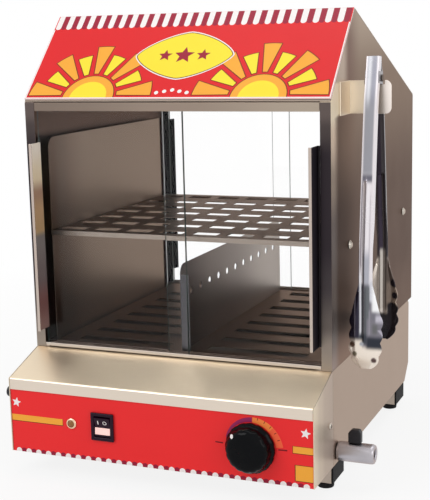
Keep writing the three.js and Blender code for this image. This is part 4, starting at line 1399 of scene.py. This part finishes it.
TONG_PIN = (219.8, 70.35, 322.0)
TONG_OPEN = 8.5
TONG_SHEET = 1.1
ARM_LENGTHS = {-1: 327.0, 1: 311.0}
ARM_ROWS, ARM_COLUMNS = 240, 56
ARM_TAIL = 23.0
ARM_BOW = 16.0
ARM_TAIL_SHARE = 0.675
ARM_TIP_GAP = 0.6
# Down the arm, by shares of its length: how far out its web lies, as a share of the bow
ARM_WEB_SHARES = [(0.0, 0.81), (0.092, 1.0), (0.338, 0.92), (0.585, 0.72), (0.708, 0.44),
                  (0.852, 0.0), (0.963, -0.19), (1.0, -0.56)]
HEAD_LENGTH = 97.0
# Where the arm's section turns into the head's, in millimetres from the head's neck
HEAD_BLEND = (-14, 30)
HEAD_HALF_WIDTH = 19.5
HEAD_FLARE_SHARE = 0.36
HEAD_ROUND_SHARE = 0.72
HEAD_TIP_SHARE = 0.9
HEAD_LOBE_SHARE = 0.13
HEAD_LOBES = 4
# The head's cupped rim rises over the first pair of shares and falls over the second
RIM, RIM_RISE, RIM_FALL, RIM_DROP = 5.0, (0.12, 0.5), (0.48, 0.8), 0.85
LEAST_DEPTH = 2.2
FLANGE, FLANGE_FALL = 7.0, (150, 215)
CORNER_SHARE, CORNER_ROUND = 0.72, 0.9
HEAD_CORNER_DROP, HEAD_CUP = 0.14, 0.6
RIB_START, RIB_BLEND, RIB_END = 112.0, 6, (0.62, 0.74)
RIDGE_HEIGHT, RIDGE_HALF = 1.4, 2.3
GROOVE_DEPTH, GROOVE_HALF, GROOVE_PLACE = 0.25, 1.3, 4.6
DENT_DEPTH, DENT_HALF, DENT_PLACE = 0.9, 0.12, 0.74
EAR_RADIUS = 6.6


def smooth(value, low, high):
    share = min(1.0, max(0.0, (value - low) / (high - low)))
    return share * share * (3 - 2 * share)


def web_place(down, length):
    """How far out an arm's web lies, at a distance down from the pin, in millimetres."""
    stations = [(-ARM_TAIL, ARM_TAIL_SHARE * ARM_BOW)]
    stations += [(share * length, out * ARM_BOW) for share, out in ARM_WEB_SHARES]
    last = len(stations) - 1
    i = next((i for i in range(last) if down <= stations[i + 1][0]), last - 1)
    before, low, high, after = (stations[min(max(j, 0), last)] for j in range(i - 1, i + 3))
    span = high[0] - low[0]
    t = min(1.0, (down - low[0]) / span)
    start = (high[1] - before[1]) / (high[0] - before[0]) * span
    end = (after[1] - low[1]) / (after[0] - low[0]) * span
    return ((2 * t ** 3 - 3 * t ** 2 + 1) * low[1] + (t ** 3 - 2 * t ** 2 + t) * start
            + (3 * t ** 2 - 2 * t ** 3) * high[1] + (t ** 3 - t ** 2) * end)


def lobe_at(share):
    """The round lobes down the head's sides, 0 to 1, at a share of its length."""
    below = (share - HEAD_FLARE_SHARE) / (1 - HEAD_FLARE_SHARE)
    return abs(math.sin(HEAD_LOBES * math.pi * below))


def head_width(share, arm_half):
    """Half width of the head at a share of its length, with round lobes down its sides."""
    neck = arm_half / HEAD_HALF_WIDTH
    width = neck + (1 - HEAD_LOBE_SHARE - neck) * (share / HEAD_FLARE_SHARE)
    if share > HEAD_FLARE_SHARE:
        width = 1 - HEAD_LOBE_SHARE * (1 - lobe_at(share))
    if share > HEAD_ROUND_SHARE:
        fall = (share - HEAD_ROUND_SHARE) / (1 - HEAD_ROUND_SHARE)
        width *= math.sqrt(1 - HEAD_TIP_SHARE * fall * fall)
    return width * HEAD_HALF_WIDTH


def arm_point(across, down, arm_half, length):
    """A point of the arm's pressed sheet: across is -1 to 1, over flanges, corners and web."""
    below_neck = down - (length - HEAD_LENGTH)
    head, share = smooth(below_neck, *HEAD_BLEND), below_neck / HEAD_LENGTH
    half = arm_half if share <= 0 else head_width(share, arm_half)
    flange = FLANGE * (1 - smooth(down, *FLANGE_FALL))
    rim = RIM * smooth(share, *RIM_RISE) * (1 - RIM_DROP * smooth(share, *RIM_FALL))
    reach = abs(across)
    corner = CORNER_SHARE - HEAD_CORNER_DROP * head
    part = max(0.0, (reach - corner) / (1 - corner))
    inward = max(flange, rim, LEAST_DEPTH) * part ** (1 + HEAD_CUP * head)
    if head >= 0.5:
        width = half * reach
    elif part > 0:
        width = half - CORNER_ROUND * (1 - part) ** 2
    else:
        width = reach / corner * (half - CORNER_ROUND)
    ridge = RIDGE_HEIGHT * math.exp(-(width / RIDGE_HALF) ** 2)
    groove = GROOVE_DEPTH * math.exp(-((width - GROOVE_PLACE) / GROOVE_HALF) ** 2)
    ribbed = smooth(down, RIB_START, RIB_START + RIB_BLEND) * (1 - smooth(share, *RIB_END))
    shift = ribbed * (ridge - groove)
    if share > HEAD_FLARE_SHARE:
        dent = math.exp(-((reach - DENT_PLACE) / DENT_HALF) ** 2)
        shift -= DENT_DEPTH * lobe_at(share) ** 3 * dent
    return math.copysign(width, across), inward, shift


# Painted reflections, highlights and shade on each arm, over a ground painted pale on the front
# arm and dark on the rear.
# Strokes: from and to across, from and to along, softness, screen colour. Across is in
# millimetres, and along in millimetres below the pin (arm) or in shares of the head's length from
# its neck. Dots, painted shade in the dents and painted glints: across, along as a share, radius,
# colour.
ARM_LIT_AND_SHADED_GROUND = {-1: (238, 232, 236), 1: (96, 90, 92)}
ARM_LIGHT_STROKES = {
    -1: [
        (-5.4, 5.2, -30, 112, 1.2, (160, 160, 168)),
        (-4.6, -0.5, -30, 30, 2.0, (208, 208, 214)),
        (0.5, 4.8, -20, 30, 2.0, (152, 152, 164)),
        (-5.4, 5.4, 108, 116, 0.8, (112, 110, 122)),
        (-6.2, -4.6, 114, 215, 0.7, (136, 126, 134)),
        (-1.9, -0.5, 114, 215, 0.7, (170, 162, 170)),
        (3.8, 4.8, 130, 215, 0.7, (196, 190, 196)),
        (-9.0, -6.8, 185, 246, 0.8, (70, 62, 74)),
        (-1.4, 4.6, 195, 246, 1.2, (176, 176, 186)),
        (-2.6, -1.0, 195, 246, 0.8, (120, 118, 128))],
    1: [
        (-9.0, 1.0, -30, 218, 1.6, (54, 44, 60)),
        (1.0, 9.0, -30, 218, 1.4, (84, 80, 84)),
        (-9.5, -5.6, 60, 218, 0.8, (120, 108, 104)),
        (0.6, 1.6, 120, 218, 0.6, (150, 145, 140))]}
HEAD_LIGHT_STROKES = {
    -1: [
        (-20, 20, 0.0, 1.3, 1.0, (128, 124, 134)),
        (4.6, 9.0, -0.04, 0.20, 1.4, (214, 214, 222)),
        (8.0, 17.0, 0.02, 0.32, 2.0, (250, 250, 252)),
        (1.5, 5.0, 0.02, 0.40, 1.2, (104, 108, 112)),
        (7.0, 13.0, 0.33, 0.42, 1.6, (120, 118, 128)),
        (12.0, 22.0, 0.36, 0.44, 1.5, (196, 192, 204)),
        (8.0, 14.0, 0.46, 0.58, 2.0, (104, 104, 106)),
        (-0.8, 1.8, 0.02, 0.66, 1.2, (84, 88, 92)),
        (-22, -6.4, 0.02, 0.68, 1.4, (40, 36, 54)),
        (-12.6, -11.4, 0.0, 0.62, 0.5, (150, 146, 160)),
        (-6.4, -4.2, -0.1, 0.62, 0.8, (226, 226, 232)),
        (-4.2, -2.4, 0.0, 0.66, 0.7, (66, 68, 76)),
        (-2.6, -1.6, 0.05, 0.64, 0.4, (124, 124, 132)),
        (4.2, 5.6, 0.30, 0.60, 0.6, (150, 146, 156)),
        (-7.0, 2.0, 0.58, 0.70, 1.4, (58, 62, 72)),
        (-22, -3.0, 0.655, 1.2, 1.0, (242, 230, 217)),
        (-5.0, 22, 0.735, 1.2, 1.0, (242, 230, 217)),
        (1.5, 24.0, 0.61, 0.75, 2.4, (38, 42, 54))],
    1: [
        (-22, 22, 0.0, 1.3, 1.0, (238, 226, 214)),
        (3.8, 22, 0.0, 0.34, 1.2, (128, 114, 106)),
        (3.8, 22, 0.3, 0.6, 1.6, (170, 152, 138)),
        (-15, -11, 0.1, 0.5, 2.0, (196, 180, 168)),
        (-3.6, 3.6, -0.1, 0.66, 0.8, (206, 198, 190)),
        (-4.6, -3.4, -0.05, 0.64, 0.6, (96, 84, 80)),
        (3.4, 4.6, -0.05, 0.64, 0.6, (96, 84, 80)),
        (-22, 22, 0.68, 1.3, 2.0, (46, 45, 50)),
        (5.0, 22, 0.56, 1.3, 2.0, (42, 38, 44))]}
HEAD_LIGHT_DOTS = {
    -1: [(-14.6, 0.71, 3.4, (100, 76, 62)), (-11.6, 0.82, 2.8, (116, 108, 90)),
         (10.4, 0.885, 3.0, (84, 62, 60)), (-3.6, 0.70, 2.4, (168, 170, 178))],
    1: [(14.5, 0.30, 5.0, (46, 40, 48)), (15.5, 0.45, 4.0, (46, 40, 48)),
        (12.0, 0.60, 6.0, (46, 42, 48)), (0.0, 0.66, 2.6, (226, 216, 208))]}
STROKE_BLUR, SHORT_STROKE, SHORT_STROKE_BLUR = 10.0, 10, 3.0
HEAD_STROKE_BLUR, HEAD_TONES_FROM = 0.035, -0.2
DOT_BLUR = 0.8


def stripe(value, low, high, soft):
    """1 between low and high and 0 beyond them, with soft ends."""
    return smooth(value, low - soft, low + soft) * (1 - smooth(value, high - soft, high + soft))


def tone(side, width, down, length):
    """The painted reflections, highlights and shade at a point of an arm, as a linear colour."""
    share = (down - (length - HEAD_LENGTH)) / HEAD_LENGTH
    colour = Vector(tint(*ARM_LIT_AND_SHADED_GROUND[side]))
    layers = []
    for left, right, low, high, soft, shade in ARM_LIGHT_STROKES[side]:
        blur = SHORT_STROKE_BLUR if high - low < SHORT_STROKE else STROKE_BLUR
        layers.append((stripe(width, left, right, soft) * stripe(down, low, high, blur), shade))
    if share > HEAD_TONES_FROM:
        for left, right, low, high, soft, shade in HEAD_LIGHT_STROKES[side]:
            along = stripe(share, low, high, HEAD_STROKE_BLUR)
            layers.append((stripe(width, left, right, soft) * along, shade))
        for across, along, radius, shade in HEAD_LIGHT_DOTS[side]:
            reach = math.hypot(width - across, (share - along) * HEAD_LENGTH)
            layers.append((1 - smooth(reach, radius - DOT_BLUR, radius + DOT_BLUR), shade))
    for amount, shade in layers:
        colour = colour.lerp(Vector(tint(*shade)), amount)
    return (*colour, 1)


def make_arm(side, arm_half):
    """One arm in its own millimetres, with the pin at the origin."""
    length = ARM_LENGTHS[side]
    deselect()
    bpy.ops.mesh.primitive_grid_add(x_subdivisions=ARM_COLUMNS, y_subdivisions=ARM_ROWS, size=2)
    sheet = bpy.context.object
    painted_light = sheet.data.color_attributes.new("Shine", "FLOAT_COLOR", "POINT")
    for vertex in sheet.data.vertices:
        across, along = vertex.co.x, (1 - vertex.co.y) / 2
        down = -ARM_TAIL + (length + ARM_TAIL - ARM_TIP_GAP) * along
        width, inward, shift = arm_point(across, down, arm_half, length)
        vertex.co = (width, side * (web_place(down, length) + shift - inward), -down)
        painted_light.data[vertex.index].color = tone(side, width, down, length)
    edit(sheet, outward)
    probe = min(sheet.data.polygons, key=lambda f: abs(f.center.z + 60) + abs(f.center.x) * 5)
    if probe.normal.y * side < 0:
        edit(sheet, bpy.ops.mesh.flip_normals)
    return thicken(sheet, TONG_SHEET, -1.0)


def ear_plates(side, half):
    """The two lugs at the pin, reaching out to the arm's web."""
    plates = []
    reach = ARM_WEB_SHARES[0][1] * ARM_BOW - 1.0
    turn = Matrix(((0, 0, 1), (side, 0, 0), (0, 1, 0))).to_4x4()
    for hand in (-1, 1):
        plate = polygon([*around(0, 0, EAR_RADIUS, -180, 0, 16), (reach, EAR_RADIUS),
                         (reach, -EAR_RADIUS)])
        settle(thicken(plate, 1.0, 0.0), Matrix.Translation((hand * (half - 0.5), 0, 0)) @ turn)
        edit(plate, outward)
        painted_light = plate.data.color_attributes.new("Shine", "FLOAT_COLOR", "POINT")
        for spot in painted_light.data:
            spot.color = (*tint(150, 146, 150), 1)
        plates.append(bevel(plate, 0.2))
    return plates


class STEAMER_OT_tongs(bpy.types.Operator):
    """Make the tongs' two pressed arms, their pin and spring, and dress the tab they hang on"""
    bl_idname = "steamer.tongs"
    bl_label = "Tongs"

    def execute(self, context):
        for side, word, half, body in ((-1, "front", 8.0, "tongs"), (1, "rear", 6.6, "tong_rear")):
            tilt = Matrix.Rotation(math.radians(TONG_OPEN * side), 4, "X")
            arm = joined(make_arm(side, half), *ear_plates(side, half))
            settle(arm, placed(*TONG_PIN, tilt))
            done(f"tong_{word}_arm_pressed", arm, pressed_steel("Pressed Tong Steel"),
                 plain("Tong Steel"), angle=40, finish_of=lambda face: int(face.normal.y > 0.3))
            carried(arm, body, f"tong_{word}_arm")
        dressed("tong_pin", "bright_steel", plain("Heat Darkened Steel"), body="tongs",
                width=0.0003)
        dressed("tong_tab", "bright_steel", tab_shade_steel(), width=0.0004)
        add_spring()
        return {"FINISHED"}


SPRING_TURNS, SPRING_RADIUS, SPRING_WIRE = 4, 4.1, 0.55
SPRING_HALF, SPRING_STEPS = 3.0, 64
SPRING_LEG_Y, SPRING_LEG_Z = 9.0, -16.0


def add_spring():
    """The torsion spring round the pin, between the ears."""
    points = [(-SPRING_HALF, SPRING_LEG_Y, SPRING_LEG_Z)]
    for i in range(SPRING_STEPS + 1):
        share = i / SPRING_STEPS
        angle = 2 * math.pi * SPRING_TURNS * share
        points.append((SPRING_HALF * (2 * share - 1), SPRING_RADIUS * math.cos(angle),
                       SPRING_RADIUS * math.sin(angle)))
    points.append((SPRING_HALF, -SPRING_LEG_Y, SPRING_LEG_Z))
    line = bpy.data.curves.new("spring_line", "CURVE")
    line.dimensions = "3D"
    line.bevel_depth = SPRING_WIRE
    line.bevel_resolution = 3
    line.use_fill_caps = True
    spline = line.splines.new("POLY")
    spline.points.add(len(points) - 1)
    for point, place in zip(spline.points, points):
        point.co = (*place, 1)
    choose(linked("tong_spring", line))
    bpy.ops.object.convert(target="MESH")
    coil = settle(bpy.context.object, placed(*TONG_PIN))
    done("tong_spring", coil, plain("Bright Steel"), weighted=False)
    carried(coil, "tongs")


# The operators in the order that builds the steamer

STEPS = [
    STEAMER_OT_stage, STEAMER_OT_housing, STEAMER_OT_sign, STEAMER_OT_control_panel,
    STEAMER_OT_deck, STEAMER_OT_doors, STEAMER_OT_lamp, STEAMER_OT_switch, STEAMER_OT_knob,
    STEAMER_OT_drain, STEAMER_OT_supports, STEAMER_OT_fasteners, STEAMER_OT_inside,
    STEAMER_OT_tongs,
]


class STEAMER_PT_panel(bpy.types.Panel):
    bl_label = "Hot Dog Steamer"
    bl_idname = "STEAMER_PT_panel"
    bl_space_type = "VIEW_3D"
    bl_region_type = "UI"
    bl_category = "Steamer"

    def draw(self, context):
        layout = self.layout
        for group in (context.scene.steamer_sizes, context.scene.steamer_colours):
            for key in group.__annotations__:
                layout.prop(group, key)
        for step in STEPS:
            layout.operator(step.bl_idname)


CLASSES = [SteamerSizes, SteamerColours, *STEPS, STEAMER_PT_panel]


def register():
    for item in CLASSES:
        bpy.utils.register_class(item)
    bpy.types.Scene.steamer_sizes = bpy.props.PointerProperty(type=SteamerSizes)
    bpy.types.Scene.steamer_colours = bpy.props.PointerProperty(type=SteamerColours)


def unregister():
    del bpy.types.Scene.steamer_sizes
    del bpy.types.Scene.steamer_colours
    for item in reversed(CLASSES):
        bpy.utils.unregister_class(item)


def main():
    register()
    for step in STEPS:
        package, name = step.bl_idname.split(".")
        getattr(getattr(bpy.ops, package), name)()


if __name__ == "__main__":
    main()
